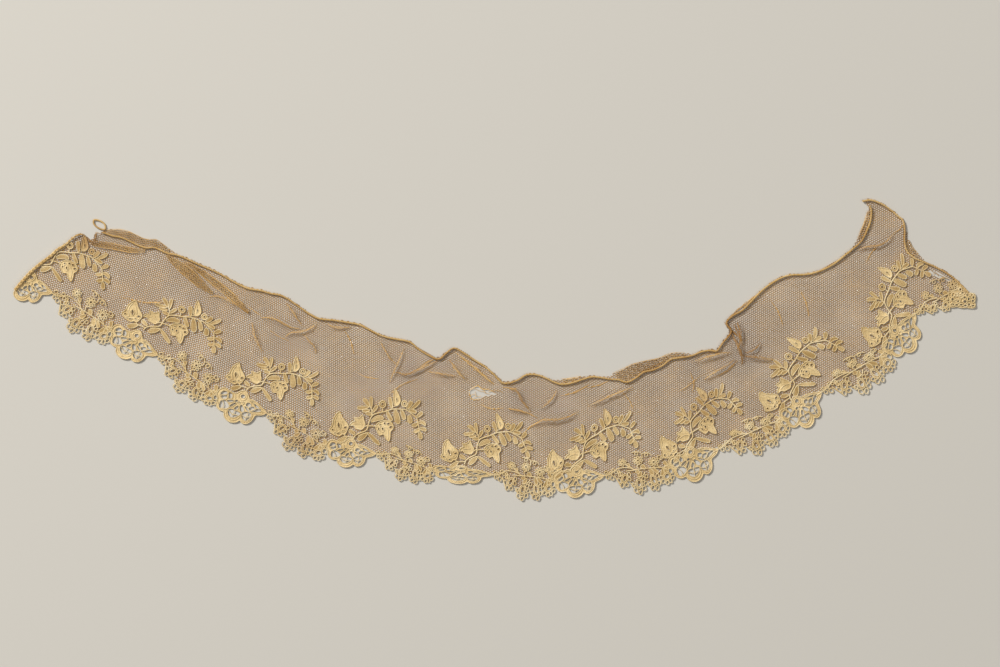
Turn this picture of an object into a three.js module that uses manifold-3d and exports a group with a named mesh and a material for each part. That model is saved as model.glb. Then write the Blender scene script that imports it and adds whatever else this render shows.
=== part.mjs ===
import * as THREE from 'three';
import { mergeVertices } from 'three/addons/utils/BufferGeometryUtils.js';
import Module from 'manifold-3d';

// A lace collar laid flat on a table. Machine net carries nine applied flower sprays and a
// scalloped border of fans and flowers. All sizes are in millimetres, +Z up, and the origin is
// on the table under the middle of the collar.

const wasm = await Module();
wasm.setup();

// Driving sizes
const MM_PER_PX = 0.6; // real size of one pixel of the photograph, from the pitch of the net
const MIDDLE_PX = 493.5; // pixel column that lies on X = 0
const MIDDLE_PY = 349.5; // pixel row that lies on Y = 0
const NET_WALL = 1;
const SEAM_GAP = 0.3; // between pieces that are sewn to each other
const APPLIED_WALL = 1;
const STEM_WIDE = 1.2;
const LEAF_BELLY = 0.68; // share of a leaf's length at which it is widest
const HEM_WIDE = 1.5;
const HEM_HIGH = 1.3;
const HEM_INSET = 1.1; // from the net's edge to the middle of its hem
const END_HEM_WIDE = 2;
const LEAST_FLAP = 2; // a narrower turning is taken up by the hem
const FOLD_ROOT = 0.5; // height in the net's wall at which a crease or a folded layer starts
const LOOP = { x: 98.6, y: 226.4, long: 3.5, wide: 2.6, lean: -0.7, sides: 12, wall: 1 };
const FLOWER_LOBES = 5;
const FLOWER_NICK = 0.2; // share of the radius that the notches between lobes cut in
const ROSETTE_LOBES = 4;
const ROSETTE_NICK = 0.1;
const SHARPEST = 0.6; // cosine that limits how far a shifted corner reaches out
const SECTOR_REACH = 60; // more than the depth of the band

const APPLIED_LOW = NET_WALL + SEAM_GAP;
const APPLIED_HIGH = APPLIED_LOW + APPLIED_WALL;
const BELOW = -1; // cutting solids start under the table and end over the tallest crease
const ABOVE = 2 * APPLIED_HIGH;

// Tables. Places are pixels of the photograph, and widths, heights, turns and radii millimetres.

function table(columns, rows) {
  return rows.map((row) => Object.fromEntries(row.map((value, i) => [columns[i], value])));
}

// The neck edge from left to right. turn is how far the edge is folded over onto the net.
const NECK = table(['x', 'y', 'turn'], [
  [102, 231, 0], [106, 229.5, 2.6], [113, 229.3, 4], [121, 229.5, 4.6], [130, 232, 5],
  [138, 236, 5], [147, 239.5, 5], [156, 239.5, 4.8], [163, 244, 4], [170, 249, 3],
  [178, 253.5, 0.8], [187, 257, 0], [200, 263, 0], [212, 268, 0], [224, 274, 0],
  [238, 282, 0], [250, 287, 0], [262, 289, 0], [272, 292, 0], [281, 293.5, 0],
  [290, 298, 0], [301, 306, 0], [311, 312.5, 0], [320, 317, 0], [334, 318.5, 0],
  [348, 320.8, 0], [360, 323, 0], [370, 328, 0], [381, 333.4, 0], [392, 336.6, 0],
  [410, 340, 0], [420, 348, 0], [432, 355, 0], [439, 357, 0], [446, 351, 0],
  [454, 346, 0], [463, 350.5, 0], [474, 357.5, 0], [487, 366, 0], [496, 374, 0],
  [503, 381, 0], [510, 381, 0], [518, 378, 0], [526, 373, 0], [537, 373, 0],
  [547, 376.5, 0], [554, 380, 1.2], [561, 379, 3.2], [571, 378, 3], [581, 376, 2.3],
  [592, 375, 0.8], [602, 376, 0], [609, 376.5, 1.6], [614, 372.5, 5], [621, 369.5, 8.4],
  [631, 364.7, 8.4], [641, 361.8, 6.4], [651, 359.8, 6.2], [660, 357.6, 5], [668, 354, 3.6],
  [676, 352.5, 3.4], [685, 352.5, 2.8], [692, 353.6, 1], [701, 350, 0], [710, 348.6, 0],
  [716, 349, 0], [721, 342, 0], [729, 332, 0], [725.5, 326, 0], [725, 320.5, 0],
  [732, 314, 0], [741, 309, 0], [751, 299, 0], [761, 289, 0], [771, 281.5, 0],
  [781, 276, 0], [791, 273.2, 0], [802, 273, 0], [813, 271.3, 0], [823, 267.7, 0],
  [833, 262.3, 0], [843, 254.5, 0], [851, 248, 0], [857, 238.5, 3], [861.5, 229, 3.3],
  [865, 219.5, 3.3], [867.5, 210.5, 2.2], [867.5, 206, 1],
]);

// The right end from the tip of the neck edge to the lowest corner
const RIGHT_END = table(['x', 'y', 'turn'], [
  [862, 199.5, 0], [870, 198.3, 0], [878, 200.5, 0], [885, 204, 0], [892, 209, 0],
  [899, 215, 0], [904.5, 220, 0], [906.5, 230, 1.2], [909, 240, 3], [913, 248, 4.2],
  [919, 254.5, 3.4], [927, 261.5, 0.6], [937, 266, 0], [947, 271.5, 0], [956, 278, 0],
  [963, 285, 0], [969, 291, 0],
]);

// The left end from its lower corner up to the pucker beside the button loop
const LEFT_END = table(['x', 'y', 'turn'], [
  [14, 289, 0], [20, 281.5, 0], [30, 270.5, 0], [40, 262, 0], [50, 254.5, 0], [57, 248, 0],
  [65, 243, 0], [72, 236.5, 0], [78, 233, 0], [83, 232.5, 0],
]);
const LEFT_PUCKER = table(['x', 'y'], [[86, 236], [91.5, 239.5], [95, 233], [98.5, 235.5]]);

// Tucks, where the net lies pleated on itself, each along its middle line
const TUCKS = [
  [[166, 254.5, 1], [176, 263, 4], [188, 272.5, 5.6], [200, 283.5, 4.6], [213.5, 294, 1]],
  [[184, 261.5, 1], [196, 268.5, 2.4], [208, 277, 3.4], [222, 288, 4], [236, 300, 3.4],
    [249, 313, 1.6]],
  [[90, 243, 1.6], [100, 244.5, 3.4], [114, 246.5, 3.4], [130, 250, 3], [146, 251, 2.2]],
].map((rows) => table(['x', 'y', 'wide'], rows));

// Creases that stand up from the net. high is measured from its upper face.
const CREASES = [
  { wide: 2, high: 0.8, path: [[147, 302], [157, 303], [163, 302]] },
  { wide: 2.4, high: 1, path: [[208, 297], [218, 296], [228, 300], [237, 304.5], [250, 314]] },
  { wide: 2.4, high: 1.4, path: [[252, 322], [254, 334], [258, 344], [262.5, 352]] },
  { wide: 2.6, high: 1.6, path: [[260, 318], [272, 318], [282, 323], [290, 327], [300, 329]] },
  { wide: 2.4, high: 1.4, path: [[317, 322], [311, 328.5], [302, 332], [291, 333], [284.5, 338]] },
  { wide: 2.2, high: 1.2, path: [[303, 334], [310, 341], [315, 348], [316, 354]] },
  { wide: 2, high: 1, path: [[286, 303], [292, 310], [298, 319], [302, 326]] },
  { wide: 2.2, high: 1.2, path: [[327, 323], [333, 326.5], [341, 327.5], [351, 327]] },
  { wide: 2.2, high: 1.2, path: [[380, 341], [385, 350], [391, 359], [397, 365]] },
  { wide: 2.2, high: 1.4, path: [[404, 348], [399, 361], [393, 374], [389.5, 383]] },
  { wide: 2.8, high: 1.8, path: [[438, 361], [430, 364], [420, 369], [408, 374], [394, 372]] },
  { wide: 2.4, high: 1.4, path: [[428, 371.5], [440, 373.5], [456, 376]] },
  { wide: 2.8, high: 1.8, path: [[449, 359], [456, 369], [466, 380.5]] },
  { wide: 2.4, high: 1.4, path: [[471, 364], [482, 375], [494, 384.5]] },
  { wide: 2.6, high: 1.8, path: [[507, 388], [517, 391], [522, 401], [531, 412]] },
  { wide: 2.2, high: 1.2, path: [[507, 408.5], [518, 410.5], [530, 413.5]] },
  { wide: 3.2, high: 2.2, path: [[531, 427], [543, 420], [556, 420], [568, 417], [579, 411.5]] },
  { wide: 2.4, high: 1.6, path: [[557, 390], [551, 400], [541, 408.5]] },
  { wide: 2.6, high: 1.6, path: [[633, 387], [616, 394], [600, 401], [588, 406]] },
  { wide: 3.2, high: 2.6, path: [[732, 333], [735, 341], [740, 351], [742.5, 364]] },
  { wide: 2.8, high: 2.4, path: [[737, 322], [740, 333], [742, 346]] },
  { wide: 2.8, high: 2.2, path: [[744, 356], [758, 357.5], [774, 359.5]] },
  { wide: 2.6, high: 2, path: [[746, 353], [754, 349.5], [760.5, 343]] },
  { wide: 3, high: 2.2, path: [[735, 359], [726, 366], [714, 372.5], [704, 380]] },
  { wide: 2.8, high: 2, path: [[732, 353], [722, 353.5], [706, 358], [692, 362]] },
  { wide: 2.4, high: 1.6, path: [[857, 251], [866, 247], [878, 246], [887, 241], [894, 233]] },
];

// Places where the net is torn through
const TEARS = [
  [[469, 390], [473, 387], [478, 386], [481, 389], [488, 390], [496, 394.5], [489, 395],
    [481, 397.5], [473, 400], [470, 397]],
  [[929, 270], [938, 272.5], [947, 277], [951, 281], [944, 280], [936, 276.5], [929, 274]],
];

// One spray, drawn on the third one from the left. wide is a leaf's width.
const LEAVES = table(['rootX', 'rootY', 'tipX', 'tipY', 'wide'], [
  [246, 386, 232, 388, 2.2], [262.5, 386, 251.6, 392.2, 2.3], [262, 386, 271, 400.4, 2.2],
  [265, 379.5, 279.6, 378, 2.2], [269.5, 369, 257.5, 363.6, 2.2], [269.5, 370, 265, 357.5, 2.3],
  [288, 373.5, 288.5, 361.5, 2.5], [292, 373.5, 297, 356.5, 3],
  [277, 373.5, 282, 364, 3], [285, 373, 287.4, 383, 2.2], [290, 373, 293.7, 388, 2.8],
  [296, 375, 300.5, 386, 2.3], [299, 375.5, 302, 368, 2.4],
  [308, 382, 318, 372.4, 2.2], [305.5, 379.5, 304.5, 390, 2.4], [312.2, 391, 319, 383, 2.1],
  [312.4, 396.5, 319.5, 397, 2.2], [312.2, 395, 312, 406, 2.4],
]);
const SPRAY_STEMS = [
  [[246.5, 390], [262, 385.5], [268, 376], [277, 373.4], [291, 373.3], [303, 377.3], [310, 385],
    [312.5, 397]],
  [[264, 384], [273, 383.6]],
  [[240, 381], [244.5, 385.5], [254, 387.2]],
  [[258, 380], [263.5, 384.5]],
  [[268.8, 376], [269.6, 368]],
];
const BELL_UP = [[239, 363], [234, 367], [230.5, 372.5], [226.3, 376], [229.5, 380.5],
  [234.5, 383.6], [240, 383.4], [245.5, 379.5], [244.3, 375], [241.5, 370]];
const BELL_DOWN = [[271, 383], [272, 391], [276.5, 393], [280.4, 400], [283, 393], [287.5, 387.5],
  [284.5, 382.3], [278, 381]];
const JAGGED_LEAF = [[246.3, 377.4], [251, 374.6], [252, 370.8], [256, 372], [259.8, 371.5],
  [260, 377.5], [261.4, 380.5], [256.5, 383.4], [251, 381]];
const SPRAY_MARKS = [[238, 362], [311, 404], [280, 400], [296, 357], [246, 390]];

// Where each spray lies: the tip of its upright bell, its fern tip, the tip of its hanging
// bell, its crest and its foot. The first spray is cut by the end hem and has no upright bell.
const SPRAYS = table(['bellUp', 'fern', 'bellDown', 'crest', 'foot'], [
  [null, [103, 285], [69, 286], [84, 236], [36, 266]],
  [[139, 300], [216, 351], [178, 345], [195, 301], [140, 328]],
  [[238, 362], [311, 404], [280, 400], [296, 357], [246, 390]],
  [[341, 408], [421, 437], [389, 440], [393, 391], [349, 443]],
  [[447, 437], [527, 457], [500, 460], [496, 415], [462, 467]],
  [[555, 447], [637, 446], [606, 460], [602, 411], [565, 475]],
  [[661, 434], [741, 412], [715, 434], [696, 390], [685, 455]],
  [[758, 394], [842, 352], [820, 374], [787, 338], [790, 400]],
  [[861, 327], [929, 276], [913, 303], [878, 269], [890, 335]],
]);

// One flowered scallop, drawn on the second one from the left
const FLOWERS = table(['x', 'y', 'radius'], [
  [182.3, 356.3, 3.3], [197, 365.8, 3.9], [207.8, 378.3, 3.8],
]);
const ROSETTES = table(['x', 'y', 'radius'], [
  [163, 359.5, 3.8], [171.5, 371.5, 4.6], [181.7, 385, 5], [195, 392, 4.7], [209.5, 398.3, 4.6],
]);
const SCALLOP_LEAVES = table(['rootX', 'rootY', 'tipX', 'tipY', 'wide'], [
  [191, 373, 188, 385, 4], [203, 381, 198, 390, 4.2], [214, 388, 210, 398, 4.4],
]);
const SCALLOP_STEMS = [
  [[152, 352], [172, 358.5], [179, 367.5], [190, 374.5], [204.6, 384.6], [222, 394]],
  [[183, 356], [186, 371.5]],
  [[197, 366], [191.5, 375]],
  [[208, 378], [205.5, 385]],
  [[171.5, 371.5], [181, 369]],
  [[181.7, 385], [190, 379]],
];
const SCALLOP_ENDS = { left: [157, 354], right: [217, 392] };

// Where each scallop lies, from end to end. inward and depth stretch it square to the line
// between its ends, towards the neck and towards the outer edge.
const SCALLOPS = table(['left', 'right', 'inward', 'depth'], [
  [[52, 292], [112, 328], 1, 1.2],
  [[157, 354], [217, 392], 1, 1],
  [[266, 412], [326, 445], 0.85, 1.15],
  [[375, 453], [432, 468], 0.8, 1.15],
  [[492, 474], [552, 478], 0.95, 1.35],
  [[603, 475], [668, 465], 0.85, 1.25],
  [[717, 449], [780, 418], 0.6, 1.15],
  [[820, 392], [884, 352], 0.6, 1.15],
  [[914, 314], [966, 283], 1, 0.8],
]);
// Past the last scallop the lace is folded into a stiff corner
const FOLDED_CORNER = [[950, 292], [957, 284], [966, 288], [975, 296], [974.5, 307], [960, 306],
  [950, 304]];
// Table past the two end hems, where the lace is cut off
const PAST_LEFT = [[83, 180], [-40, 180], [-40, 310], [6, 297]];
const PAST_RIGHT = [[974, 294], [990, 280], [960, 240]];

// One openwork fan, drawn on the second one from the left, with its widest gaps
const FAN_OUTLINE = [[216.5, 392], [219, 388.8], [223.5, 387.8], [229, 390], [234, 392.4],
  [240, 390.2], [246, 391], [249, 397], [255, 401], [261, 405.5], [267, 412], [262.5, 415],
  [255.5, 415.4], [253, 420.5], [246, 424.4], [240.3, 421.6], [234, 422.4], [228, 420.8],
  [224.6, 416.5], [224.2, 411], [219, 409.4], [216.2, 403.5], [218.4, 398]];
const FAN_GAPS = [
  [[221, 403], [223.5, 400.6], [228, 401.5], [228.6, 406], [225, 408], [221.8, 406.6]],
  [[228, 411.4], [231, 409.2], [236, 411], [239.6, 412.4], [238, 415.6], [233, 417.2], [229, 415.4]],
  [[241.8, 414.2], [244.5, 411.8], [249, 412.6], [251, 415.2], [249.4, 418.6], [245.6, 420]],
  [[251.6, 405.6], [256, 404.4], [261.6, 409.4], [257.6, 411.2], [252.6, 410.4]],
];
const FAN_ENDS = { left: [217, 392], right: [266, 412] };
const NET_BEHIND_FAN = [[222, 391], [234, 395], [246, 395], [256, 404]];

// Where each fan lies. The first is cut by the end hem, and the fifth is folded under.
const FANS = table(['left', 'right', 'inward', 'depth'], [
  [[8, 273], [52, 292], 1, 1],
  [[112, 328], [157, 354], 1, 0.95],
  [[217, 392], [266, 412], 1, 1],
  [[326, 445], [375, 453], 1, 0.88],
  [[432, 468], [492, 474], 0.4, 0.5],
  [[552, 478], [603, 475], 1, 0.95],
  [[668, 465], [717, 449], 1, 1.1],
  [[780, 418], [820, 392], 1, 1.15],
  [[884, 352], [914, 314], 1, 1.1],
]);

const COLOURS = {
  net: 0x9a8254,
  applied: 0xd9c69c,
  hem: 0xc7a96c,
};

// Outlines are lists of [x, y] in millimetres

function onTable([x, y]) {
  return [MM_PER_PX * (x - MIDDLE_PX), MM_PER_PX * (MIDDLE_PY - y)];
}

function edgePoints(rows) {
  return rows.map(({ x, y }) => onTable([x, y]));
}

function unit([x, y]) {
  const length = Math.hypot(x, y);
  return [x / length, y / length];
}

// Directions square to a path at each of its points, to the left of its travel
function sideways(path, closed) {
  const last = path.length - 1;
  return path.map((point, i) => {
    const before = path[i > 0 ? i - 1 : closed ? last : 0];
    const after = path[i < last ? i + 1 : closed ? 0 : last];
    const into = i > 0 || closed ? unit([point[0] - before[0], point[1] - before[1]]) : null;
    const out = i < last || closed ? unit([after[0] - point[0], after[1] - point[1]]) : null;
    const along = unit([(into ?? out)[0] + (out ?? into)[0], (into ?? out)[1] + (out ?? into)[1]]);
    const reach = Math.max(SHARPEST, along[0] * (out ?? into)[0] + along[1] * (out ?? into)[1]);
    return [-along[1] / reach, along[0] / reach];
  });
}

function shifted(path, distances, closed = false) {
  const sides = sideways(path, closed);
  return path.map(([x, y], i) => {
    const distance = Array.isArray(distances) ? distances[i] : distances;
    return [x + distance * sides[i][0], y + distance * sides[i][1]];
  });
}

function turnsLeft(outline) {
  const twice = outline.reduce((sum, [x, y], i) => {
    const [nextX, nextY] = outline[(i + 1) % outline.length];
    return sum + x * nextY - nextX * y;
  }, 0);
  return twice > 0;
}

function grown(outline, gap) {
  return gap ? shifted(outline, turnsLeft(outline) ? -gap : gap, true) : outline;
}

function bandOutline(path, wide) {
  return [...shifted(path, wide / 2), ...shifted(path, -wide / 2).reverse()];
}

function tuckOutline(rows) {
  const halves = rows.map(({ wide }) => wide / 2);
  const line = edgePoints(rows);
  return [...shifted(line, halves), ...shifted(line, halves.map((half) => -half)).reverse()];
}

function leafOutline(root, tip, wide) {
  const along = unit([tip[0] - root[0], tip[1] - root[1]]);
  const length = Math.hypot(tip[0] - root[0], tip[1] - root[1]);
  const side = (half) => [
    root[0] + along[0] * length * LEAF_BELLY - along[1] * half,
    root[1] + along[1] * length * LEAF_BELLY + along[0] * half,
  ];
  return [root, side(-wide / 2), tip, side(wide / 2)];
}

function lobedOutline([x, y], radius, lobes, depth) {
  return Array.from({ length: 2 * lobes }, (_, i) => {
    const angle = (Math.PI * i) / lobes;
    const reach = radius * (i % 2 ? 1 - depth : 1);
    return [x + reach * Math.cos(angle), y + reach * Math.sin(angle)];
  });
}

// Solids

function solidOf(geometry, nearest = 1e-4) {
  geometry.deleteAttribute('normal');
  geometry.deleteAttribute('uv');
  const merged = mergeVertices(geometry, nearest);
  return new wasm.Manifold(new wasm.Mesh({
    numProp: 3,
    vertProperties: Float32Array.from(merged.attributes.position.array),
    triVerts: Uint32Array.from(merged.index.array),
  }));
}

function prism(outline, low, high) {
  const shape = new THREE.Shape(outline.map(([x, y]) => new THREE.Vector2(x, y)));
  const geometry = new THREE.ExtrudeGeometry(shape, { depth: high - low, bevelEnabled: false });
  geometry.translate(0, 0, low);
  return solidOf(geometry);
}

function joined(solids) {
  return solids.reduce((sum, piece) => sum.add(piece)).asOriginal();
}

// A crease: three-sided in section, tallest in the middle and run out to nothing at both ends
function crease(path, wide, high) {
  const left = shifted(path, wide / 2);
  const right = shifted(path, -wide / 2);
  const last = path.length - 1;
  const points = [[...path[0], FOLD_ROOT]];
  for (let i = 1; i < last; i += 1) {
    points.push([...left[i], FOLD_ROOT], [...right[i], FOLD_ROOT], [...path[i], NET_WALL + high]);
  }
  points.push([...path[last], FOLD_ROOT]);
  const end = points.length - 1;
  const faces = [[0, 1, 2], [0, 3, 1], [0, 2, 3]];
  for (let l = 1; l + 3 < end; l += 3) {
    const [r, t] = [l + 1, l + 2];
    faces.push([l, r + 3, r], [l, l + 3, r + 3]);
    faces.push([r, t + 3, t], [r, r + 3, t + 3]);
    faces.push([t, l + 3, l], [t, t + 3, l + 3]);
  }
  faces.push([end, end - 2, end - 3], [end, end - 3, end - 1], [end, end - 1, end - 2]);
  const geometry = new THREE.BufferGeometry();
  geometry.setAttribute('position', new THREE.Float32BufferAttribute(points.flat(), 3));
  geometry.setIndex(faces.flat());
  return solidOf(geometry);
}

function geometryOf(solid) {
  const { vertProperties, triVerts } = solid.getMesh();
  const geometry = new THREE.BufferGeometry();
  geometry.setAttribute('position', new THREE.BufferAttribute(Float32Array.from(vertProperties), 3));
  geometry.setIndex(new THREE.BufferAttribute(Uint32Array.from(triVerts), 1));
  return geometry;
}

// The largest of the separate bodies in a solid, once corners that all but touch are merged
function mainBody(solid) {
  const bodies = solidOf(geometryOf(solid.asOriginal()), 1e-3).decompose();
  return bodies.reduce((best, body) => (body.volume() > best.volume() ? body : best));
}

// The affine map that brings the drawn marks nearest to their places in one repeat
function motifMap(drawn, placed) {
  const pairs = drawn.map((mark, i) => [mark, placed[i]]).filter(([, place]) => place);
  const sum = (term) => pairs.reduce((total, pair) => total + term(pair), 0);
  const xx = sum(([a]) => a[0] * a[0]);
  const xy = sum(([a]) => a[0] * a[1]);
  const yy = sum(([a]) => a[1] * a[1]);
  const x = sum(([a]) => a[0]);
  const y = sum(([a]) => a[1]);
  const inverse = new THREE.Matrix3().set(xx, xy, x, xy, yy, y, x, y, pairs.length).invert();
  const weights = [0, 1].map((k) => new THREE.Vector3(
    sum(([a, b]) => a[0] * b[k]),
    sum(([a, b]) => a[1] * b[k]),
    sum(([, b]) => b[k]),
  ).applyMatrix3(inverse));
  return (point) => onTable(weights.map((w) => w.x * point[0] + w.y * point[1] + w.z));
}

// The map of one repeat of the border: its ends are brought to their places, and what lies off
// the line between them is stretched
function borderMap(drawn, { left, right, inward, depth }) {
  const span = ([ax, ay], [bx, by]) => [bx - ax, by - ay];
  const from = span(drawn.left, drawn.right);
  const to = span(left, right);
  const length = Math.hypot(...from);
  return ([x, y]) => {
    const [dx, dy] = span(drawn.left, [x, y]);
    const along = (dx * from[0] + dy * from[1]) / length ** 2;
    const off = (dy * from[0] - dx * from[1]) / length ** 2;
    const out = off * (off > 0 ? depth : inward);
    return onTable([left[0] + along * to[0] - out * to[1], left[1] + along * to[1] + out * to[0]]);
  };
}

// Hems lie along an edge, inside it by a small inset, or by the width of the turned-over flap

function hemPath(rows) {
  return shifted(edgePoints(rows), rows.map(({ turn }) => -Math.max(HEM_INSET, turn)));
}

function hemOutline(rows, wide, gap = 0) {
  return bandOutline(hemPath(rows), wide + 2 * gap);
}

// The flaps of an edge: the net turned over between its fold and its hem
function flaps(rows) {
  const edge = edgePoints(rows);
  const inner = shifted(edge, rows.map(({ turn }) => -Math.max(turn, LEAST_FLAP)));
  const solids = [];
  let start = -1;
  rows.forEach(({ turn }, i) => {
    if (turn >= LEAST_FLAP && start < 0) start = i;
    const ends = start >= 0 && (turn < LEAST_FLAP || i === rows.length - 1);
    if (!ends) return;
    const strip = [...edge.slice(start, i), ...inner.slice(start, i).reverse()];
    solids.push(prism(strip, FOLD_ROOT, APPLIED_HIGH));
    start = -1;
  });
  return solids;
}

// The outer edge of the net runs under the rosettes of the scallops and behind the fans
const scallopMaps = SCALLOPS.map((row) => borderMap(SCALLOP_ENDS, row));
const fanMaps = FANS.map((row) => borderMap(FAN_ENDS, row));

const outerEdge = SCALLOPS.flatMap((_, i) => {
  const fan = NET_BEHIND_FAN.map(fanMaps[i]);
  const scallop = ROSETTES.map(({ x, y }) => scallopMaps[i]([x, y]));
  return [...(i > 0 ? fan : fan.slice(2)), ...scallop];
});
const netOutline = [
  ...edgePoints(LEFT_END), ...edgePoints(LEFT_PUCKER), ...edgePoints(NECK),
  ...edgePoints(RIGHT_END), ...outerEdge.reverse(),
];

function buildNet() {
  const parts = [
    prism(netOutline, 0, NET_WALL),
    ...flaps(NECK),
    ...flaps(RIGHT_END),
    ...TUCKS.map((rows) => prism(tuckOutline(rows), FOLD_ROOT, APPLIED_HIGH)),
    ...CREASES.map(({ path, wide, high }) => crease(path.map(onTable), wide, high)),
  ];
  const hemRoom = joined([
    prism(hemOutline(NECK, HEM_WIDE, SEAM_GAP), NET_WALL, ABOVE),
    prism(hemOutline(RIGHT_END, HEM_WIDE, SEAM_GAP), NET_WALL, ABOVE),
  ]);
  const tears = joined(TEARS.map((outline) => prism(outline.map(onTable), BELOW, ABOVE)));
  return joined(parts).subtract(hemRoom).subtract(tears);
}

function scallopOutlines(map) {
  return [
    ...FLOWERS.map(({ x, y, radius }) => (
      lobedOutline(map([x, y]), radius, FLOWER_LOBES, FLOWER_NICK))),
    ...ROSETTES.map(({ x, y, radius }) => (
      lobedOutline(map([x, y]), radius, ROSETTE_LOBES, ROSETTE_NICK))),
    ...SCALLOP_LEAVES.map(({ rootX, rootY, tipX, tipY, wide }) => (
      leafOutline(map([rootX, rootY]), map([tipX, tipY]), wide))),
    ...SCALLOP_STEMS.map((path) => bandOutline(path.map(map), STEM_WIDE)),
  ];
}

function fanSolid(map, gap = 0) {
  const whole = prism(grown(FAN_OUTLINE.map(map), gap), 0, APPLIED_HIGH);
  if (gap) return whole;
  const gaps = joined(FAN_GAPS.map((outline) => prism(outline.map(map), BELOW, ABOVE)));
  return whole.subtract(gaps);
}

// One repeat of the border, or with a gap the room that it needs
function borderPattern(i, gap = 0) {
  const drawn = scallopOutlines(scallopMaps[i]);
  if (i === SCALLOPS.length - 1) drawn.push(FOLDED_CORNER.map(onTable));
  const outlines = drawn.map((outline) => grown(outline, gap));
  return joined([
    fanSolid(fanMaps[i], gap),
    ...outlines.map((outline) => prism(outline, 0, APPLIED_HIGH)),
  ]);
}

// The wedge of the collar that one repeat may fill, parted from its neighbours by a seam
function borderSector(i) {
  const limit = (here, before, after, shift) => {
    const along = unit([after[0] - before[0], after[1] - before[1]]);
    const at = [here[0] + shift * along[0], here[1] + shift * along[1]];
    return [-1, 1].map((side) => [at[0] - side * SECTOR_REACH * along[1],
      at[1] + side * SECTOR_REACH * along[0]]);
  };
  const ends = (k) => [onTable(FANS[k].left), onTable(SCALLOPS[k].right)];
  const [start, end] = ends(i);
  const first = i > 0
    ? limit(start, onTable(SCALLOPS[i - 1].left), onTable(FANS[i].right), SEAM_GAP / 2)
    : limit(start, start, end, -SECTOR_REACH);
  const second = i < SCALLOPS.length - 1
    ? limit(end, onTable(SCALLOPS[i].left), onTable(FANS[i + 1].right), -SEAM_GAP / 2)
    : limit(end, start, end, SECTOR_REACH);
  return prism([first[0], first[1], second[1], second[0]], BELOW, ABOVE);
}

const underNet = prism(grown(netOutline, SEAM_GAP), BELOW, APPLIED_LOW);
const pastLeftEnd = prism([...hemPath(LEFT_END), ...PAST_LEFT.map(onTable)], BELOW, ABOVE);
const pastRightEnd = prism(
  [...hemPath(RIGHT_END).slice(-4), ...PAST_RIGHT.map(onTable)],
  BELOW,
  ABOVE,
);

function endHemRoom(gap) {
  return joined([
    prism(hemOutline(LEFT_END, END_HEM_WIDE, gap), BELOW, ABOVE),
    prism(hemOutline(RIGHT_END, HEM_WIDE, gap), BELOW, ABOVE),
  ]);
}

function buildBorder(i) {
  const pattern = borderPattern(i).intersect(borderSector(i)).subtract(endHemRoom(SEAM_GAP));
  const pastEnd = { 0: pastLeftEnd, [SCALLOPS.length - 1]: pastRightEnd }[i];
  const trimmed = pastEnd ? pattern.subtract(pastEnd) : pattern;
  return mainBody(trimmed.subtract(underNet));
}

function buildSpray(i) {
  const map = motifMap(SPRAY_MARKS, Object.values(SPRAYS[i]));
  const bells = i > 0 ? [BELL_UP, BELL_DOWN] : [BELL_DOWN];
  const outlines = [
    ...LEAVES.map(({ rootX, rootY, tipX, tipY, wide }) => (
      leafOutline(map([rootX, rootY]), map([tipX, tipY]), wide))),
    ...[...bells, JAGGED_LEAF].map((outline) => outline.map(map)),
    ...SPRAY_STEMS.map((path) => bandOutline(path.map(map), STEM_WIDE)),
  ];
  const whole = joined(outlines.map((outline) => prism(outline, APPLIED_LOW, APPLIED_HIGH)));
  const near = [i - 1, i, i + 1].filter((k) => k >= 0 && k < SCALLOPS.length);
  const room = joined([endHemRoom(2 * SEAM_GAP), ...near.map((k) => borderPattern(k, SEAM_GAP))]);
  const trimmed = i === 0 ? whole.subtract(pastLeftEnd) : whole;
  return mainBody(trimmed.subtract(room));
}

function buildHem(rows, wide) {
  return prism(hemOutline(rows, wide), APPLIED_LOW, APPLIED_LOW + HEM_HIGH);
}

function buildLoop() {
  const { long, wide, lean, sides, wall } = LOOP;
  const centre = onTable([LOOP.x, LOOP.y]);
  const oval = (halfLong, halfWide) => Array.from({ length: sides }, (_, i) => {
    const angle = (2 * Math.PI * i) / sides;
    const [x, y] = [halfLong * Math.cos(angle), halfWide * Math.sin(angle)];
    return [
      centre[0] + x * Math.cos(lean) - y * Math.sin(lean),
      centre[1] + x * Math.sin(lean) + y * Math.cos(lean),
    ];
  });
  return prism(oval(long, wide), 0, wall).subtract(prism(oval(long - wall, wide - wall), BELOW, ABOVE));
}

// Meshes

const group = new THREE.Group();

function addPiece(name, solid, color) {
  const geometry = geometryOf(solid);
  geometry.computeVertexNormals();
  const material = new THREE.MeshStandardMaterial({ color, roughness: 0.9, metalness: 0 });
  const mesh = new THREE.Mesh(geometry, material);
  mesh.name = name;
  group.add(mesh);
}

addPiece('net_ground', buildNet(), COLOURS.net);
SPRAYS.forEach((_, i) => addPiece(`spray_${i + 1}`, buildSpray(i), COLOURS.applied));
SCALLOPS.forEach((_, i) => addPiece(`border_${i + 1}`, buildBorder(i), COLOURS.applied));
addPiece('neck_hem', buildHem(NECK, HEM_WIDE), COLOURS.hem);
addPiece('left_end_hem', buildHem(LEFT_END, END_HEM_WIDE), COLOURS.hem);
addPiece('right_end_hem', buildHem(RIGHT_END, HEM_WIDE), COLOURS.hem);
addPiece('button_loop', buildLoop(), COLOURS.hem);

export default group;
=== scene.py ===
"""A lace collar laid flat on a table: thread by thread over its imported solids."""

import math

import bpy
import numpy as np
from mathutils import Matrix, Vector
from mathutils.geometry import delaunay_2d_cdt


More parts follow.
